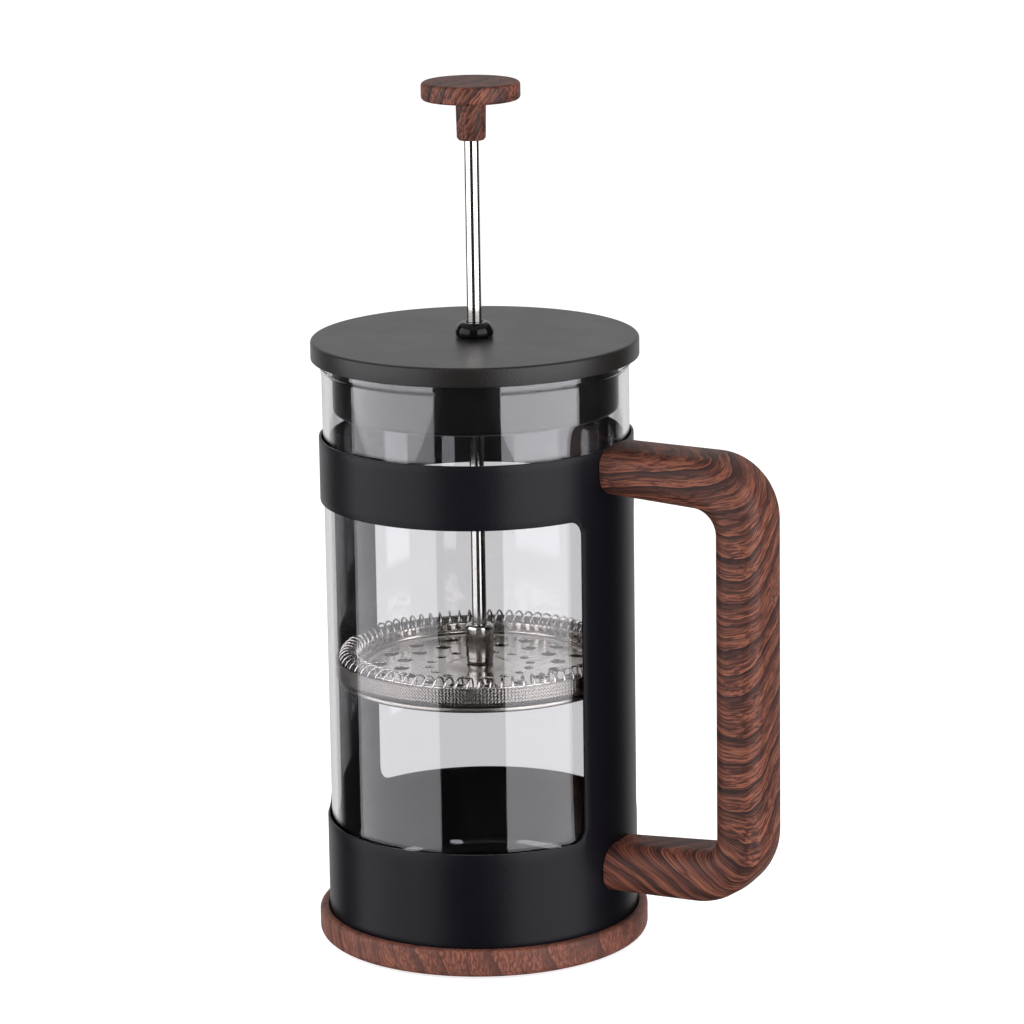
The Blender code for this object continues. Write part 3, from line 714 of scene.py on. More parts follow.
@dataclass(frozen=True)
class FoamRubber(Finish):
    """Matt black rubber."""

    name: str = "foam rubber"
    dark: Triple = (0.018, 0.018, 0.018)
    pale: Triple = (0.035, 0.034, 0.033)
    size: float = 0.9
    roughness: float = 0.85

    def inputs(self, nodes: Nodes) -> dict[str, Any]:
        """Dark, dull and slightly open-pored.

        Args:
            nodes: the material's nodes.

        Returns:
            Values or sockets for the shader.
        """
        peel = nodes.effect(orange_peel(), Place=nodes.millimetres(), Size=self.size)
        return {
            "Base Color": nodes.blend(peel["Mottle"], (*self.dark, 1), (*self.pale, 1)),
            "Roughness": self.roughness,
            "Normal": nodes.bump(peel["Height"], 0.15, 0.6),
        }


HANDLE_WOOD = WoodEffect("rosewood print handle", mapped=True, stretch=(1.0, 0.045, 1.0))
BASE_WOOD = WoodEffect("rosewood print base", turn=(8.0, 14.0, 0.0), stretch=(1.0, 1.0, 0.12), fade=0.12)
KNOB_WOOD = WoodEffect("rosewood print knob", turn=(15.0, -26.0, 0.0), stretch=(1.0, 1.0, 0.08))
COAT = SprayedBlack()
MOULDED = SprayedBlack("black moulding", (0.004, 0.004, 0.004), 0.3, 1.5, 0.01, 0.06)
LID_COAT = SprayedBlack("black lid coat", (0.006, 0.005, 0.0045), 0.36, 0.9, 0.12, 0.6, 0.27)
GLOSSY = SprayedBlack("gloss black moulding", (0.003, 0.003, 0.003), 0.08, 3.0, 0.01, 0.03)
STEEL = BrightMetal()
PRESSED = BrightMetal("pressed steel", (0.52, 0.49, 0.45), 0.18, (1.0, 1.0, 1.0), 0.12)
# A darker, rougher copy of the pressed steel for the cross plate: its darker colour is painted shade that
# dims the reflection along the rolled edge.
SHADED_STEEL = BrightMetal("steel with painted shade", (0.34, 0.32, 0.29), 0.3, (1.0, 1.0, 1.0), 0.12)
FASTENER = BrightMetal("fastener steel", (0.50, 0.49, 0.47), 0.24, (1.0, 1.0, 1.0), 0.15)
BRASS = BrightMetal("brass", (0.68, 0.47, 0.20), 0.2, (1.0, 1.0, 1.0), 0.15)
CLOTH = WovenWire()
CLEAR = ClearGlass()
RUBBER = FoamRubber()


def show(piece: Object, body: Body, slot: Slot, finish: Finish, *nodes: str) -> None:
    """Dresses a piece and lets it ride on a body in place of CAD nodes.

    Args:
        piece: the finished object.
        body: the moving group that it belongs to.
        slot: the material slot that it stands for; not used.
        finish: its finish.
        nodes: the CAD nodes that it is shown instead of.
    """
    piece.data.materials.append(finish.material())
    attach(piece, body.value)
    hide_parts(*nodes)
    log.info("%s on %s: %d faces", piece.name, body.value, len(piece.data.polygons))


def keep(finish: Finish, *names: str) -> None:
    """Gives CAD nodes that stay as they are a better finish.

    Args:
        finish: the finish.
        names: the CAD nodes.
    """
    for name in names:
        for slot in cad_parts[name].material_slots:
            slot.material = finish.material()
        log.info("%s keeps its shape", name)


# ---------------------------------------------------------------- sub-assemblies


@dataclass
class Stand:
    """The base, its pad and the windowed sleeve that holds the beaker."""

    base_radius: float = 54.6
    base_top: float = 10.0
    base_low: float = 0.8
    floor_z: float = 6.0
    seat_z: float = 9.7
    seat_radius: float = 36.0
    pad_radius: float = 44.0
    pad_height: float = 2.0
    sleeve_radius: float = 51.3
    sheet: float = 0.8
    sleeve_low: float = 6.3
    sleeve_top: float = 169.5
    flange_bore: float = 38.0
    window_low: float = 41.4
    window_high: float = 148.5
    window_corner: float = 5.0
    foot_bend: float = 1.2
    cut_edge: float = 0.12
    handle_post: float = 21.5
    spout_post: float = 17.0

    def build(self) -> None:
        """Builds and dresses every piece of the stand but its handle."""
        self.base()
        self.pad()
        self.sleeve()
        keep(FASTENER, "base_screw_1", "base_screw_2", "base_screw_3")

    def base(self) -> None:
        """The base: its section swept round the axis, with a well for the sleeve and a pocket below."""
        well, pocket = self.sleeve_radius + 0.3, self.pad_radius + 0.3
        outer, shoulder, foot = self.base_radius, 1.4, 2.6
        piece = turn_piece(
            "base_rosewood",
            run((0, self.pad_height + 0.3), (pocket, self.pad_height + 0.3), (pocket, self.base_low + 0.3)),
            arc(pocket + 0.3, self.base_low + 0.3, 0.3, 180, 270, 3),
            arc(outer - foot, self.base_low + foot, foot, 270, 360, 10),
            arc(outer - shoulder, self.base_top - shoulder, shoulder, 0, 90, 8),
            arc(well + 0.4, self.base_top - 0.4, 0.4, 90, 180, 4),
            run((well, self.floor_z), (self.seat_radius, self.floor_z)),
            run((self.seat_radius, self.seat_z - 0.6), (self.seat_radius - 0.6, self.seat_z)),
            run((0, self.seat_z)),
        )
        show(piece, Body.STAND, Slot.WOOD, BASE_WOOD, "base_plate")

    def pad(self) -> None:
        """The pad: a thick disc with a softened rim."""
        r, h = self.pad_radius, self.pad_height
        piece = turn_piece(
            "pad_rubber",
            run((0, 0), (r - 0.5, 0)),
            arc(r - 0.5, 0.5, 0.5, 270, 360, 4),
            arc(r - 0.3, h - 0.3, 0.3, 0, 90, 3),
            run((r - 0.3, h), (0, h)),
            steps=128,
        )
        show(piece, Body.STAND, Slot.RUBBER, RUBBER, "non_slip_pad")

    def sleeve(self) -> None:
        """The sleeve: bands above and below the windows, and the two posts between them.

        Round the circle, the windows' upper and lower edges are heights that depend on the angle:
        level in the middle, and at each side the quarter circle of the window's corner. Each band is
        a grid between that edge and the sleeve's own edge, and the posts are grids between bands.
        """
        radius, c = self.sleeve_radius, self.window_corner
        t = np.linspace(0, math.pi / 2, 10)
        inset, rise = c * (1 - np.cos(t)), c * (1 - np.sin(t))

        def window(start: float, end: float) -> tuple[Grid, Grid]:
            """Works out one window.

            Args:
                start: angle in degrees where it starts.
                end: angle where it ends.

            Returns:
                Angles across it, and how far its edge is drawn in at each.
            """
            a, b = math.radians(start), math.radians(end)
            middle = np.linspace(a + c / radius, b - c / radius, 50)[1:-1]
            angles = np.concatenate([a + inset / radius, middle, b - inset[::-1] / radius])
            return angles, np.concatenate([rise, 0 * middle, rise[::-1]])

        def post(centre: float, half: float) -> tuple[Grid, Grid]:
            """Angles across one post, where the edge is drawn in by the whole corner."""
            angles = np.radians(np.linspace(centre - half, centre + half, 15))
            return angles, np.full(15, c)

        pieces = [
            post(0, self.handle_post),
            window(self.handle_post, 180 - self.spout_post),
            post(180, self.spout_post),
            window(180 + self.spout_post, 360 - self.handle_post),
        ]
        angle = np.concatenate([a for a, _ in pieces])[:, None]
        drawn = np.concatenate([d for _, d in pieces])[:, None]
        bend = self.foot_bend
        foot = np.concatenate([
            run((self.flange_bore, self.sleeve_low), (radius - bend, self.sleeve_low), steps=4),
            arc(radius - bend, self.sleeve_low + bend, bend, 270, 360, 6)[1:],
        ])
        surface = Surface()
        climb = np.linspace(0, 1, 9)[None, 1:]
        start = self.sleeve_low + bend
        wall = start + (self.window_low + drawn - start) * climb
        r = np.concatenate([np.broadcast_to(foot[:, 0], (len(angle), len(foot))), radius + 0 * wall], axis=1)
        z = np.concatenate([np.broadcast_to(foot[:, 1], (len(angle), len(foot))), wall], axis=1)
        surface.add(rolled(r, angle, z))
        edge = self.window_high - drawn
        surface.add(rolled(radius, angle, edge + (self.sleeve_top - edge) * np.linspace(0, 1, 9)[None, :]))
        for centre, half in ((0, self.handle_post), (180, self.spout_post)):
            z = np.linspace(self.window_low + c, self.window_high - c, 25)
            surface.add(rolled(radius, post(centre, half)[0][:, None], z))
        piece = surface.make("sleeve_coated", closed=False)
        thicken(piece, self.sheet, self.cut_edge)
        show(piece, Body.STAND, Slot.COAT, COAT, "frame_sleeve")


@dataclass
class Handle:
    """The D handle: rounded sections carried round a path from one arm's root to the other's."""

    root: float = 47.5
    outside: float = 104.2
    top: float = 169.5
    bottom: float = 23.0
    arm: float = 14.6
    thickness: float = 15.6
    crown: float = 1.2
    half_width: float = 11.5
    outer_slope: float = 0.012
    inner_slope: float = 0.062
    outer_corners: tuple[float, float] = (20.0, 23.0)
    inner_corners: tuple[float, float] = (8.0, 5.0)
    tight: float = 5.0
    soft: float = 7.0
    saddle: float = 51.6
    drift: float = 0.75
    lean: float = 0.16
    upturn: float = 1.15
    upturn_top: float = 62.0
    upturn_height: float = 36.0
    pivot: float = 95.0

    def edge(self, offset: float, slope: float, rounds: tuple[float, float]) -> list[Grid]:
        """One long edge of the handle in the XZ plane, straight runs and corner arcs in turn.

        Args:
            offset: 0 for the outer edge and 1 for the inner one.
            slope: fall of the arm along its run.
            rounds: radii of the upper and the lower corner.

        Returns:
            The runs: upper arm, upper corner, grip, lower corner, lower arm.
        """
        side = self.outside - offset * self.thickness
        top, low = self.top - offset * self.arm, self.bottom + offset * self.arm
        span = side - self.root
        fall = slope * span
        corners = np.array([(self.root, top), (side, top - fall), (side, low + fall), (self.root, low)])
        arcs = [self.corner(*corners[i : i + 3], rounds[i], 16) for i in (0, 1)]
        upper = np.linspace(corners[0], arcs[0][0], 17)
        grip = np.linspace(arcs[0][-1], arcs[1][0], 41)
        lower = np.linspace(arcs[1][-1], corners[3], 17)
        return [upper, arcs[0], grip, arcs[1], lower]

    @staticmethod
    def corner(before: Grid, at: Grid, after: Grid, radius: float, steps: int) -> Grid:
        """Points on the circle that touches both lines of a corner, turned evenly from one to the other.

        Args:
            before: a point on the first line.
            at: the corner.
            after: a point on the second line.
            radius: radius of the circle.
            steps: number of chords.

        Returns:
            The arc's points.
        """
        back, on = before - at, after - at
        back, on = back / np.linalg.norm(back), on / np.linalg.norm(on)
        half = math.acos(float(back @ on)) / 2
        middle = back + on
        centre = at + middle / np.linalg.norm(middle) * radius / math.sin(half)
        start, end = at + back * radius / math.tan(half) - centre, at + on * radius / math.tan(half) - centre
        sweep = math.pi - 2 * half
        t = np.linspace(0, 1, steps + 1)[:, None]
        return centre + (start * np.sin((1 - t) * sweep) + end * np.sin(t * sweep)) / math.sin(sweep)

    def section(self, inner: Grid, outer: Grid) -> Grid:
        """Rounded sections between inner and outer edge points, their outer side crowned.

        Args:
            inner: points of the inner edge.
            outer: points of the outer edge.

        Returns:
            A grid of points, edge point by section point.
        """
        across = outer - inner
        height = np.linalg.norm(across, axis=1)[:, None]
        up = across / height
        wide = self.half_width
        tight, soft = np.minimum(self.tight, height * 0.3), np.minimum(self.soft, height * 0.5)
        quarter = np.radians(np.linspace(0, 90, 8))[None, :]
        fine = np.radians(np.linspace(0, 90, 12))[None, :]
        corners = [
            (wide - tight + tight * np.cos(quarter), height - tight + tight * np.sin(quarter)),
            (-wide + tight - tight * np.sin(quarter), height - tight + tight * np.cos(quarter)),
            (-wide + soft - soft * np.cos(fine), soft - soft * np.sin(fine)),
            (wide - soft + soft * np.sin(fine), soft - soft * np.cos(fine)),
        ]
        u = np.concatenate([c[0] for c in corners], axis=1)
        v = np.concatenate([c[1] for c in corners], axis=1)
        u, v = np.concatenate([u, u[:, :1]], axis=1), np.concatenate([v, v[:, :1]], axis=1)
        u, v = self.refined(u), self.refined(v)
        v = v + self.crown * (1 - (u / wide) ** 2) * np.clip(2 * v / height - 1, 0, 1)
        return np.stack([inner[:, :1] + up[:, :1] * v, u, inner[:, 1:] + up[:, 1:] * v], axis=2)

    @staticmethod
    def refined(values: Grid) -> Grid:
        """Puts a midpoint between neighbours.

        Args:
            values: rows of numbers.

        Returns:
            The rows, one number short of twice as long.
        """
        middle = (values[:, 1:] + values[:, :-1]) / 2
        woven = np.empty((values.shape[0], values.shape[1] * 2 - 1))
        woven[:, ::2], woven[:, 1::2] = values, middle
        return woven

    def build(self) -> None:
        """Lofts the handle, trims its roots to the sleeve, lays the figure on it and dresses it.

        Each arm's root is pulled along the arm's own straight lines until it lies on the cylinder of
        the sleeve, so every section point keeps its place across the arm.
        """
        outer = self.edge(0, self.outer_slope, self.outer_corners)
        inner = self.edge(1, self.inner_slope, self.inner_corners)
        rings = [self.section(i, o) for i, o in zip(inner, outer)]
        rings[0] = self.trimmed(rings[0])
        rings[4] = self.trimmed(rings[4][::-1])[::-1]
        grid = np.concatenate([rings[0], *(ring[1:] for ring in rings[1:])])
        start, end = self.cap(grid[0]), self.cap(grid[-1])[::-1]
        path = np.concatenate([outer[0], *(o[1:] for o in outer[1:])])
        whole = np.concatenate([start[:-1], grid, end[1:]])
        piece = Surface().add(whole, self.figure(whole, path)).make("handle_rosewood", sharp=50)
        show(piece, Body.STAND, Slot.WOOD, HANDLE_WOOD, "handle")
        keep(BRASS, "handle_insert_upper", "handle_insert_lower")
        keep(FASTENER, "handle_screw_upper", "handle_screw_lower")

    def trimmed(self, rings: Grid) -> Grid:
        """An arm's rings with the root moved onto the sleeve's cylinder.

        Args:
            rings: the arm's grid, from root to corner.

        Returns:
            The grid spread between the cylinder and the corner.
        """
        root, end = rings[0], rings[-1]
        reach = np.sqrt(self.saddle**2 - root[:, 1] ** 2)
        skip = (reach - root[:, 0]) / (end[:, 0] - root[:, 0])
        share = skip[None, :] + (1 - skip[None, :]) * np.linspace(0, 1, len(rings))[:, None]
        return root[None] + (end - root)[None] * share[:, :, None]

    def cap(self, ring: Grid) -> Grid:
        """Rings that close an arm's root: shrunk towards the middle and kept on the sleeve's cylinder.

        Args:
            ring: the root's outline.

        Returns:
            Rings from the middle out to the outline.
        """
        share = np.array([0.0, 0.5, 0.9, 0.975, 1.0])[:, None]
        y = ring[None, :, 1] * share
        middle = ring[:, 2].mean()
        z = middle + (ring[None, :, 2] - middle) * share
        return np.stack([np.sqrt(self.saddle**2 - y**2), y, z], axis=2)

    def figure(self, grid: Grid, path: Grid) -> Grid:
        """Pattern coordinates of the wood figure: across the grain, and along it.

        Across the grain is the height, tilted a little along x and, in the lower arm, turned upright.
        Going round the handle's width, the figure slides along the outer edge at a fixed rate.

        Args:
            grid: the handle's points.
            path: points of the handle's outer edge.

        Returns:
            Two coordinates in millimetres for every point.
        """

        def side(x: Grid, z: Grid) -> Grid:
            """The figure on the handle's flat side.

            Args:
                x: places along x.
                z: heights.

            Returns:
                The coordinate across the grain.
            """
            low = np.clip((self.upturn_top - z) / self.upturn_height, 0, 1)
            turned_up = self.upturn * low * low * (3 - 2 * low) * (x - self.pivot)
            return z - self.lean * (x - 50) + turned_up

        x, y, z = grid[..., 0], grid[..., 1], grid[..., 2]
        travelled = along(path)
        ring = grid[:, 0][:, None, [0, 2]]
        spot = np.linalg.norm(path[None] - ring, axis=2).argmin(axis=1)
        place = travelled[spot][:, None] + 0 * y
        edge = side(path[:, 0], path[:, 1])
        further = place + self.drift * (y + self.half_width)
        slid = np.interp(further, travelled, edge) - np.interp(place, travelled, edge)
        return np.stack([side(x, z) + slid, x + 1.3 * y + 0.6 * z], axis=2)


@dataclass
class Beaker:
    """The glass with its drawn spout."""

    radius: float = 50.0
    wall: float = 2.0
    corner: float = 8.0
    bottom: float = 10.0
    rim: float = 196.0
    bead: float = 0.7
    reach: float = 5.8
    dip: float = 5.0
    half_angle: float = 28.0
    depth: float = 22.0

    def build(self) -> None:
        """Builds the glass: a turned wall with a thicker rim, whose points move out and down at the spout.

        The share of the spout at a point is the squared cosine of its angle from -X, stretched to
        reach zero at the half angle, times a smooth rise from the spout's foot to the rim.
        """
        bore, inner = self.radius - self.wall, self.corner - self.wall
        lip = (self.wall + self.bead) / 2
        wall = np.concatenate([
            np.linspace(self.bottom + self.corner, self.rim - self.depth, 12)[1:-1],
            np.linspace(self.rim - self.depth, self.rim - 5, 15)[:-1],
            np.linspace(self.rim - 5, self.rim - lip, 14)[:-1],
        ])
        swell = self.bead * np.clip((wall - self.rim + 4.2) / 1.0, 0, 1)
        section = np.concatenate([
            run((0, self.bottom), (self.radius - self.corner, self.bottom), steps=4),
            arc(self.radius - self.corner, self.bottom + self.corner, self.corner, 270, 360, 14)[1:],
            np.stack([self.radius + swell, wall], axis=1),
            arc(self.radius + self.bead - lip, self.rim - lip, lip, 0, 180, 10),
            np.stack([bore + 0 * wall, wall[::-1]], axis=1),
            arc(bore - inner, self.bottom + self.corner, inner, 0, -90, 14),
            run((bore - inner, self.bottom + self.wall), (0, self.bottom + self.wall), steps=4)[1:],
        ])
        grid = turned(section, 288)
        x, y, z = grid[..., 0], grid[..., 1], grid[..., 2]
        off = np.degrees(np.arctan2(np.abs(y), -x))
        share = np.cos(np.radians(np.clip(off / self.half_angle, 0, 1) * 90)) ** 2
        t = np.clip((z - self.rim + self.depth) / self.depth, 0, 1)
        share = share * t * t * (3 - 2 * t)
        grow = 1 + self.reach * share / np.maximum(np.hypot(x, y), 1.0)
        shaped = np.stack([x * grow, y * grow, z - self.dip * share], axis=2)
        piece = Surface(shaped).make("beaker_glass", sharp=60)
        show(piece, Body.GLASS, Slot.GLASS, CLEAR, "beaker")


@dataclass
class Lid:
    """The cap, its plug collar and the bushing that guides the rod."""

    radius: float = 53.4
    low: float = 195.2
    top: float = 201.4
    wall: float = 1.2
    edge: float = 1.0
    collar_radius: float = 46.5
    collar_wall: float = 2.0
    collar_low: float = 178.0
    collar_top: float = 199.9
    collar_under: float = 197.4
    seat: float = 196.3
    hole: float = 4.8
    bore: float = 2.7
    neck: float = 4.5
    dome: float = 6.2
    dome_low: float = 201.7
    dome_top: float = 206.2
    neck_low: float = 192.6

    def build(self) -> None:
        """Builds and dresses the lid's pieces."""
        self.cap()
        self.collar()
        self.bushing()
        keep(STEEL, "bushing_washer")
        keep(FASTENER, "bushing_nut")

    def cap(self) -> None:
        """The cap: a shallow pressed pan swept round the axis."""
        r, inside = self.radius, self.radius - self.wall
        piece = turn_piece(
            "lid_cap_coated",
            run((self.hole, self.top - self.wall), (inside, self.top - self.wall), (inside, self.low + 0.2)),
            arc(inside + 0.2, self.low + 0.2, 0.2, 180, 270, 3),
            arc(r - 0.3, self.low + 0.3, 0.3, 270, 360, 4),
            arc(r - self.edge, self.top - self.edge, self.edge, 0, 90, 8),
            run((r - self.edge - 1, self.top), (self.hole, self.top), (self.hole, self.top - self.wall)),
        )
        show(piece, Body.LID, Slot.COAT, LID_COAT, "lid_cap")

    def collar(self) -> None:
        """The plug collar: a flanged cup open below, with a rounded lower edge."""
        r, inside, low = self.collar_radius, self.collar_radius - self.collar_wall, self.collar_low
        flange = self.radius - self.wall - 0.6
        rounded = self.collar_wall * 0.9
        piece = turn_piece(
            "lid_collar_moulded",
            run((self.hole, self.collar_under), (inside - 2, self.collar_under)),
            arc(inside - 2, self.collar_under - 2, 2, 90, 0, 5)[1:],
            run((inside, low), (r - rounded, low)),
            arc(r - rounded, low + rounded, rounded, 270, 360, 8)[1:],
            run((r, self.seat), (flange, self.seat), (flange, self.collar_top), (self.hole, self.collar_top)),
            run((self.hole, self.collar_top), (self.hole, self.collar_under))[1:],
        )
        show(piece, Body.LID, Slot.PLASTIC, MOULDED, "lid_collar")

    def bushing(self) -> None:
        """The bushing: a glossy dome round the rod, on a neck through the lid."""
        t = np.linspace(0, math.pi / 2, 14)
        mouth, foot = self.bore + 0.8, 1.0
        dome = np.stack([
            mouth + (self.dome - mouth) * np.cos(t),
            self.dome_low + foot + (self.dome_top - self.dome_low - foot) * np.sin(t),
        ], axis=1)
        piece = turn_piece(
            "bushing_gloss",
            run((self.bore, self.neck_low), (self.neck, self.neck_low), (self.neck, self.dome_low)),
            run((self.dome - 0.3, self.dome_low), (self.dome, self.dome_low + 0.4)),
            dome,
            run((self.bore + 0.3, self.dome_top), (self.bore, self.dome_top - 0.3)),
            run((self.bore, self.neck_low)),
            steps=96,
            sharp=50,
        )
        show(piece, Body.LID, Slot.GLOSS, GLOSSY, "rod_bushing")


@dataclass
class Plunger:
    """The knob, the rod and the hub above the filter."""

    knob_radius: float = 16.0
    knob_top: float = 284.5
    knob_disc: float = 5.9
    knob_edge: float = 1.3
    knob_low: float = 265.6
    stem: float = 4.9
    knob_bore: float = 3.3
    rod: float = 2.4
    thread: float = 1.8
    rod_top: float = 265.9
    rod_low: float = 93.1
    stud_low: float = 84.2
    stud_top: float = 280.4
    hub: float = 4.6
    hub_bore: float = 2.7
    hub_low: float = 92.5
    hub_high: float = 105.3

    def build(self) -> None:
        """Builds and dresses the knob, the rod and the hub."""
        self.knob()
        self.rod_and_hub()
        keep(BRASS, "knob_insert")

    def knob(self) -> None:
        """The knob: a disc with rounded edges on a short stem, bored from below."""
        disc_low, e, fillet = self.knob_top - self.knob_disc, self.knob_edge, 1.2
        piece = turn_piece(
            "knob_rosewood",
            run((0, 281.0), (self.knob_bore, 281.0), (self.knob_bore, self.knob_low)),
            run((self.stem - 0.8, self.knob_low), (self.stem - 0.2, self.knob_low + 0.8)),
            arc(self.stem + fillet, disc_low - fillet, fillet, 180, 90, 6),
            arc(self.knob_radius - e, disc_low + e, e, 270, 360, 8),
            arc(self.knob_radius - e, self.knob_top - e, e, 0, 90, 8),
            run((self.knob_radius - e - 1, self.knob_top), (0, self.knob_top), steps=3),
            steps=160,
            sharp=50,
        )
        show(piece, Body.PLUNGER, Slot.WOOD, KNOB_WOOD, "knob")

    def rod_and_hub(self) -> None:
        """The rod with its threaded ends, and the hub with a groove near its foot."""
        r, t = self.rod, self.thread
        piece = turn_piece(
            "rod_polished",
            run((0, self.stud_low), (t - 0.3, self.stud_low), (t, self.stud_low + 0.3), (t, self.rod_low)),
            run((r - 0.2, self.rod_low), (r, self.rod_low + 0.2)),
            run((r, self.rod_top - 0.2), (r - 0.2, self.rod_top)),
            run((t, self.rod_top), (t, self.stud_top - 0.3), (t - 0.3, self.stud_top), (0, self.stud_top)),
            steps=64,
        )
        show(piece, Body.PLUNGER, Slot.STEEL, STEEL, "plunger_rod")
        h, low, high = self.hub, self.hub_low, self.hub_high
        piece = turn_piece(
            "hub_polished",
            run((self.hub_bore, low), (h - 0.5, low), (h - 0.1, low + 0.4), (h - 0.1, low + 1.3)),
            run((h - 0.35, low + 1.45), (h - 0.35, low + 1.65), (h, low + 1.8)),
            arc(h - 1.2, high - 1.2, 1.2, 0, 90, 8),
            run((self.hub_bore + 0.2, high), (self.hub_bore, high - 0.2), (self.hub_bore, low)),
            steps=96,
            sharp=50,
        )
        show(piece, Body.PLUNGER, Slot.STEEL, STEEL, "rod_hub")


@dataclass
class Filter:
    """The spring plate, the coil threaded through its rim, the mesh dish, the cross plate and its nut."""

    segments: int = 320
    bore: float = 2.1
    plate_top: float = 91.2
    plate_sheet: float = 0.7
    boss: float = 11.0
    rim: float = 41.45
    rim_top: float = 95.0
    turns: int = 80
    coil_centre: float = 43.2
    coil_z: float = 95.4
    coil_radius: float = 3.1
    wire: float = 0.33
    mesh_radius: float = 47.5
    mesh_floor: float = 89.7
    mesh_top: float = 95.9
    mesh_sheet: float = 0.5
    wires: int = 264
    cross_radius: float = 46.2
    cross_top: float = 89.4
    cross_sheet: float = 0.8
    nut_flats: float = 10.0
    nut_low: float = 84.8
    nut_top: float = 88.3
    nut_chamfer: float = 1.7
    plate_rows: tuple[HoleRow, ...] = (
        HoleRow(12.6, 16.8, 16, 1.6, 0.5),
        HoleRow(20.5, 27.5, 16, 2.5, 0.5),
        HoleRow(28.4, 35.0, 16, 2.5, 0.0),
    )
    cross_row: HoleRow = HoleRow(17.0, 36.5, 8, 6.5, 0.0)

    def build(self) -> None:
        """Builds and dresses the filter's pieces."""
        self.spring_plate()
        self.coil()
        self.mesh()
        self.cross_plate()
        self.nut()

    def sheet(self, name: str, profile: Grid, rows: tuple[HoleRow, ...]) -> Object:
        """A turned sheet with rows of round holes.

        Args:
            name: the piece's name.
            profile: the sheet's upper or outer side as (radius, height), from the axis outwards.
            rows: its rows of holes, from the axis outwards.

        Returns:
            The sheet, without its thickness.
        """
        distance = along(profile)
        end = distance[-1]
        surface, at = Surface(), 0.0
        for row in (*rows, HoleRow(end, end, 0, 0.0, 0.0)):
            inside = distance[(distance > at + 0.05) & (distance < row.low - 0.05)]
            stops = np.concatenate([[at], inside, [row.low]])
            plain = np.stack([np.interp(stops, distance, profile[:, axis]) for axis in (0, 1)], axis=1)
            surface.add(turned(plain, self.segments)[::-1])
            if row.count:
                for cell in perforated(profile, row, self.segments):
                    surface.add(cell)
            at = row.high
        return surface.make(name, closed=False)

    def spring_plate(self) -> None:
        """The spring plate: a boss, a flat with rings of holes, a ridge and a rim with a row of holes."""
        top, bend = self.plate_top, 0.6
        profile = np.concatenate([
            run((self.bore, top + 1.0), (7.0, top + 1.0), steps=2),
            run((8.0, top + 0.9), (10.2, top + 0.1), (self.boss, top), (36.4, top)),
            run((37.0, top + 0.15), (37.5, top + 0.5), (38.0, top + 0.5), (38.6, top + 0.1), (39.2, top)),
            arc(self.rim - bend, top + bend, bend, 270, 360, 5),
            run((self.rim, top + 1.0), (self.rim, self.rim_top), steps=3),
        ])
        wall = along(profile)[-1] - (self.rim_top - top)
        threaded = HoleRow(wall + 0.7, wall + 3.0, self.turns, 1.0, 0.5)
        piece = self.sheet("spring_plate_pressed", profile, (*self.plate_rows, threaded))
        thicken(piece, self.plate_sheet)
        show(piece, Body.PLUNGER, Slot.STEEL, PRESSED, "spring_plate")

    def coil(self) -> None:
        """The coil: a wire whose centre circles round a ring, so many turns for one trip round it."""
        t = np.linspace(0, math.tau, self.turns * 18 + 1)
        spin = t * self.turns
        r = self.coil_centre + self.coil_radius * np.cos(spin)
        path = rolled(r, t, self.coil_z + self.coil_radius * np.sin(spin))
        piece = Surface(tube(path, self.wire)).make("filter_coil_wire", sharp=80)
        show(piece, Body.PLUNGER, Slot.STEEL, STEEL, "filter_spring")

    def mesh(self) -> None:
        """The mesh dish: a flat cloth floor folded up into a wall, its wires mapped round and out."""
        r, bend, sheet = self.mesh_radius, 1.5, self.mesh_sheet
        outer = np.concatenate([
            run((self.bore, self.mesh_floor), (r - bend, self.mesh_floor), steps=8),
            arc(r - bend, self.mesh_floor + bend, bend, 270, 360, 6)[1:],
            run((r, self.mesh_floor + bend), (r, self.mesh_top), steps=4)[1:],
        ])
        inner = np.concatenate([
            run((r - sheet, self.mesh_top), (r - sheet, self.mesh_floor + bend), steps=4),
            arc(r - bend, self.mesh_floor + bend, bend - sheet, 0, -90, 6)[1:],
            run((r - bend, self.mesh_floor + sheet), (self.bore, self.mesh_floor + sheet), steps=8)[1:],
        ])
        section = np.concatenate([outer, inner, outer[:1]])
        grid = turned(section, 240)
        distance = along(section)
        angle = np.linspace(0, self.wires, 241)[:, None] + 0 * distance[None, :]
        pitch = math.tau * r / self.wires
        out = distance[None, :] / pitch + 0 * angle
        place = np.stack([angle + out, angle - out], axis=2)
        piece = Surface().add(grid, place).make("mesh_dish_woven", sharp=60)
        show(piece, Body.PLUNGER, Slot.STEEL, CLOTH, "mesh_screen")

    def cross_plate(self) -> None:
        """The cross plate: a disc with eight round openings and its edge rolled down."""
        r, top = self.cross_radius, self.cross_top
        profile = np.concatenate([
            run((self.bore, top), (r - 1.0, top), steps=2),
            arc(r - 1.0, top - 1.0, 1.0, 90, 0, 6)[1:],
            run((r, top - 1.0), (r, 87.7), steps=1)[1:],
        ])
        piece = self.sheet("cross_plate_pressed", profile, (self.cross_row,))
        thicken(piece, self.cross_sheet)
        # The cross plate's darker steel colour is painted shade.
        show(piece, Body.PLUNGER, Slot.STEEL, SHADED_STEEL, "cross_plate")

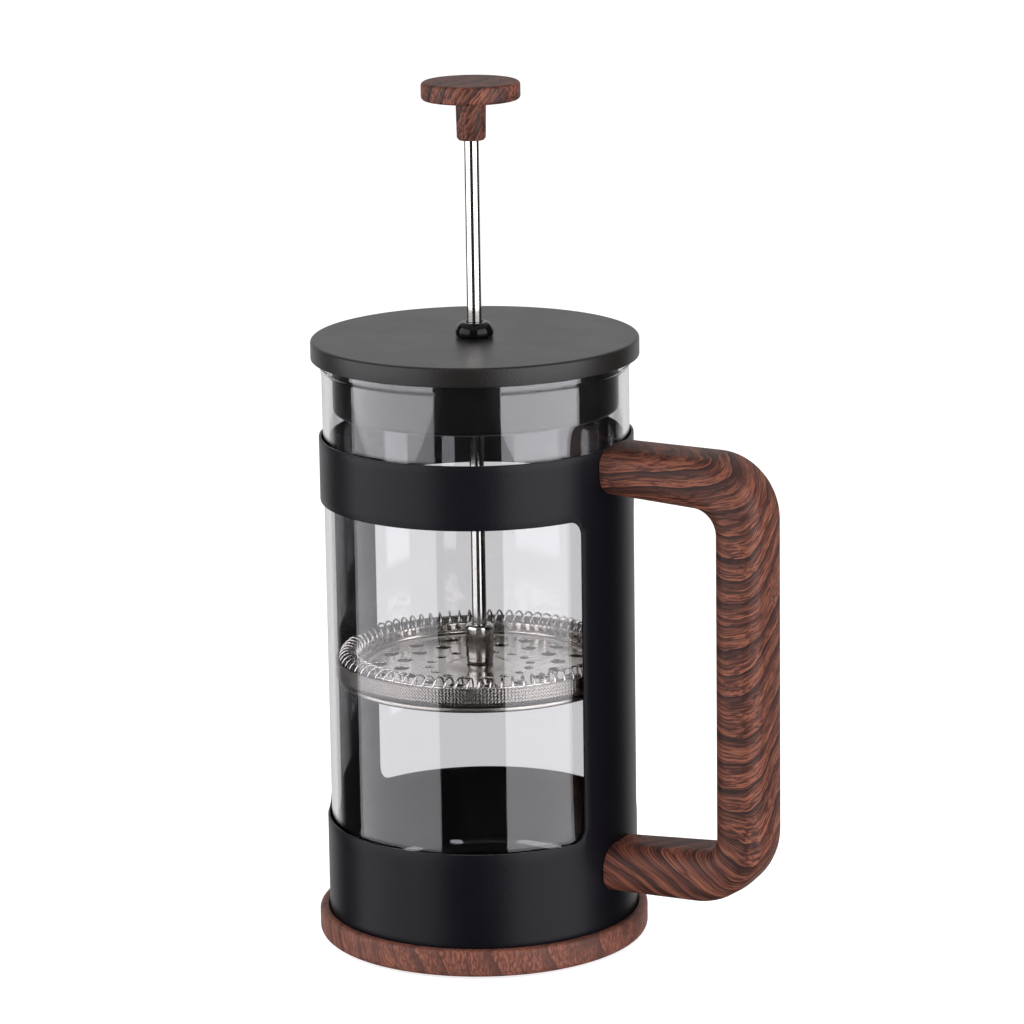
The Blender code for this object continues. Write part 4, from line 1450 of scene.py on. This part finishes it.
    def nut(self) -> None:
        """The clamp nut: a hexagon whose corners are cut by a cone at both ends.

        Its radius at an angle is the lesser of the hexagon's and the cone's at that height.
        """
        angle = np.linspace(0, math.tau, 97)[:, None]
        hexagon = self.nut_flats / 2 / np.cos((angle + math.pi / 6) % (math.pi / 3) - math.pi / 6)
        middle, half = (self.nut_low + self.nut_top) / 2, (self.nut_top - self.nut_low) / 2
        z = middle + half * np.array([-1, -0.8, -0.6, 0, 0.6, 0.8, 1])[None, :]
        cone = self.nut_flats / 2 + self.nut_chamfer * (half - np.abs(z - middle))
        side = rolled(np.minimum(hexagon, cone), angle, z)
        bore = turned(np.array([(self.bore, self.nut_top), (self.bore, self.nut_low)]), 96)
        whole = np.concatenate([side, bore, side[:, :1]], axis=1)
        piece = Surface(whole).make("clamp_nut_plated", sharp=25)
        show(piece, Body.PLUNGER, Slot.FASTENER, FASTENER, "clamp_nut")


# ---------------------------------------------------------------- studio


@dataclass
class Studio:
    """A pale floor, soft light all round and the camera."""

    azimuth: float = 28.0
    distance: float = 1439.7
    height: float = 482.4
    pitch: float = 13.282
    yaw: float = 0.448
    roll: float = -0.859
    focal: float = 4520.6
    image: float = 1024.0
    sensor: float = 36.0
    floor_reach: float = 6.0
    floor_grey: float = 0.6
    floor_glow: float = 0.72
    box_away: float = 0.75
    box_top: float = 0.75
    box_low: float = -0.5
    box_tint: Triple = (0.97, 0.965, 1.0)
    low_share: float = 0.58
    backdrop: float = 0.74
    roof: float = 0.75
    dark: float = 0.03

    def build(self) -> None:
        """Sets the studio up."""
        self.camera()
        self.floor()
        self.light()
        self.surroundings()

    def camera(self) -> None:
        """The camera, placed by distance, height and turn about the press."""
        yaw, pitch, roll = (math.radians(a) for a in (self.yaw, self.pitch, self.roll))
        ahead = Vector((math.sin(yaw) * math.cos(pitch), math.cos(yaw) * math.cos(pitch), -math.sin(pitch)))
        right = Vector((math.cos(yaw), -math.sin(yaw), 0))
        up = right.cross(ahead)
        side = math.cos(roll) * right + math.sin(roll) * up
        top = math.cos(roll) * up - math.sin(roll) * right
        turn = Matrix.Rotation(math.radians(self.azimuth), 3, "Z")
        axes = [turn @ v for v in (side, top, -ahead)]
        spot = turn @ Vector((0, -self.distance, self.height)) * MM
        data = bpy.data.cameras.new("camera")
        data.sensor_width = self.sensor
        data.lens = self.focal * self.sensor / self.image
        camera = placed("camera", data)
        rows = [[*(axis[i] for axis in axes), spot[i]] for i in range(3)]
        camera.matrix_world = Matrix([*rows, [0, 0, 0, 1]])
        bpy.context.scene.camera = camera

    def floor(self) -> None:
        """A wide pale floor that glows a little, and that gloss and glass don't see."""
        mesh, reach = bpy.data.meshes.new("floor"), self.floor_reach
        corners = [(-reach, -reach, 0), (reach, -reach, 0), (reach, reach, 0), (-reach, reach, 0)]
        mesh.from_pydata(corners, [], [(0, 1, 2, 3)])
        floor = placed("floor", mesh)
        pale = bpy.data.materials.new("pale floor")
        pale.use_nodes = True
        Nodes(pale.node_tree).feed(pale.node_tree.nodes["Principled BSDF"], {
            "Base Color": (self.floor_grey, self.floor_grey, self.floor_grey, 1),
            "Roughness": 1.0,
            "Specular IOR Level": 0.0,
            "Emission Color": (1, 1, 1, 1),
            "Emission Strength": self.floor_glow,
        })
        mesh.materials.append(pale)
        floor.visible_glossy = floor.visible_transmission = False

    def panel(
        self, name: str, bearings: tuple[float, float], heights: tuple[float, float], level: float
    ) -> None:
        """An upright soft box that faces the press and spans a range of bearings.

        Args:
            name: the light's name.
            bearings: degrees to the right of the camera's own side where it starts and ends.
            heights: heights of its lower and upper edge in metres.
            level: how bright its face is, white being 1.
        """
        start, end = bearings
        turn = math.radians(self.azimuth - 90 + (start + end) / 2)
        wide = 2 * self.box_away * math.tan(math.radians((end - start) / 2))
        low, high = heights
        away = Vector((math.cos(turn), math.sin(turn), 0))
        data = bpy.data.lights.new(name, "AREA")
        data.shape = "RECTANGLE"
        data.size, data.size_y = wide, high - low
        data.color = self.box_tint
        data.energy = level * math.pi * wide * (high - low)
        light = placed(name, data)
        light.location = away * self.box_away + Vector((0, 0, (low + high) / 2))
        light.rotation_euler = away.to_track_quat("Z", "Y").to_euler()
        light.visible_camera = False

    def light(self) -> None:
        """A tall soft box on each side with a dimmer one below it, so the press mirrors less low down."""
        for name, bearings, level in (("left", (-104, -31), 3.6), ("right", (18, 81), 4.7)):
            self.panel(f"{name} box", bearings, (0.0, self.box_top), level)
            self.panel(f"{name} low box", bearings, (self.box_low, 0.0), level * self.low_share)

    def surroundings(self) -> None:
        """What the press mirrors all round: a bright backdrop behind it and overhead, dark elsewhere.

        The camera itself sees plain white, and what shows through glass is as bright as the backdrop.
        """
        world = bpy.data.worlds.new("studio")
        world.use_nodes = True
        bpy.context.scene.world = world
        nodes = Nodes(world.node_tree)
        background = world.node_tree.nodes["Background"]
        parts = nodes.add("SeparateXYZ", {0: nodes.add("TexCoord").outputs["Generated"]})
        ahead = math.radians(self.azimuth + 90)
        aside = nodes.math("MULTIPLY", parts.outputs[0], math.cos(ahead))
        facing = nodes.math("MULTIPLY_ADD", parts.outputs[1], math.sin(ahead), aside)
        backdrop = nodes.math("MULTIPLY", nodes.between(facing, 0.62, 0.80), self.backdrop)
        roof = nodes.math("MULTIPLY", nodes.between(parts.outputs[2], 0.35, 0.8), self.roof)
        level = nodes.math("MAXIMUM", nodes.math("MAXIMUM", backdrop, roof), self.dark)
        path = nodes.add("LightPath")
        direct = nodes.math("LESS_THAN", path.outputs["Glossy Depth"], 0.5)
        through = nodes.math("MULTIPLY", path.outputs["Is Transmission Ray"], direct)
        level = nodes.math("MAXIMUM", level, nodes.math("MULTIPLY", through, self.backdrop))
        inputs = {0: path.outputs["Is Camera Ray"], 2: level, 3: 1.0}
        strength = nodes.add("Mix", inputs, data_type="FLOAT").outputs[0]
        nodes.feed(background, {"Strength": strength, "Color": (1, 1, 1, 1)})
        bpy.context.scene.view_settings.view_transform = "Standard"


def main() -> None:
    logging.basicConfig(level=logging.INFO, format="%(message)s")
    for assembly in (Studio(), Stand(), Handle(), Beaker(), Lid(), Plunger(), Filter()):
        assembly.build()


if __name__ == "__main__":
    main()
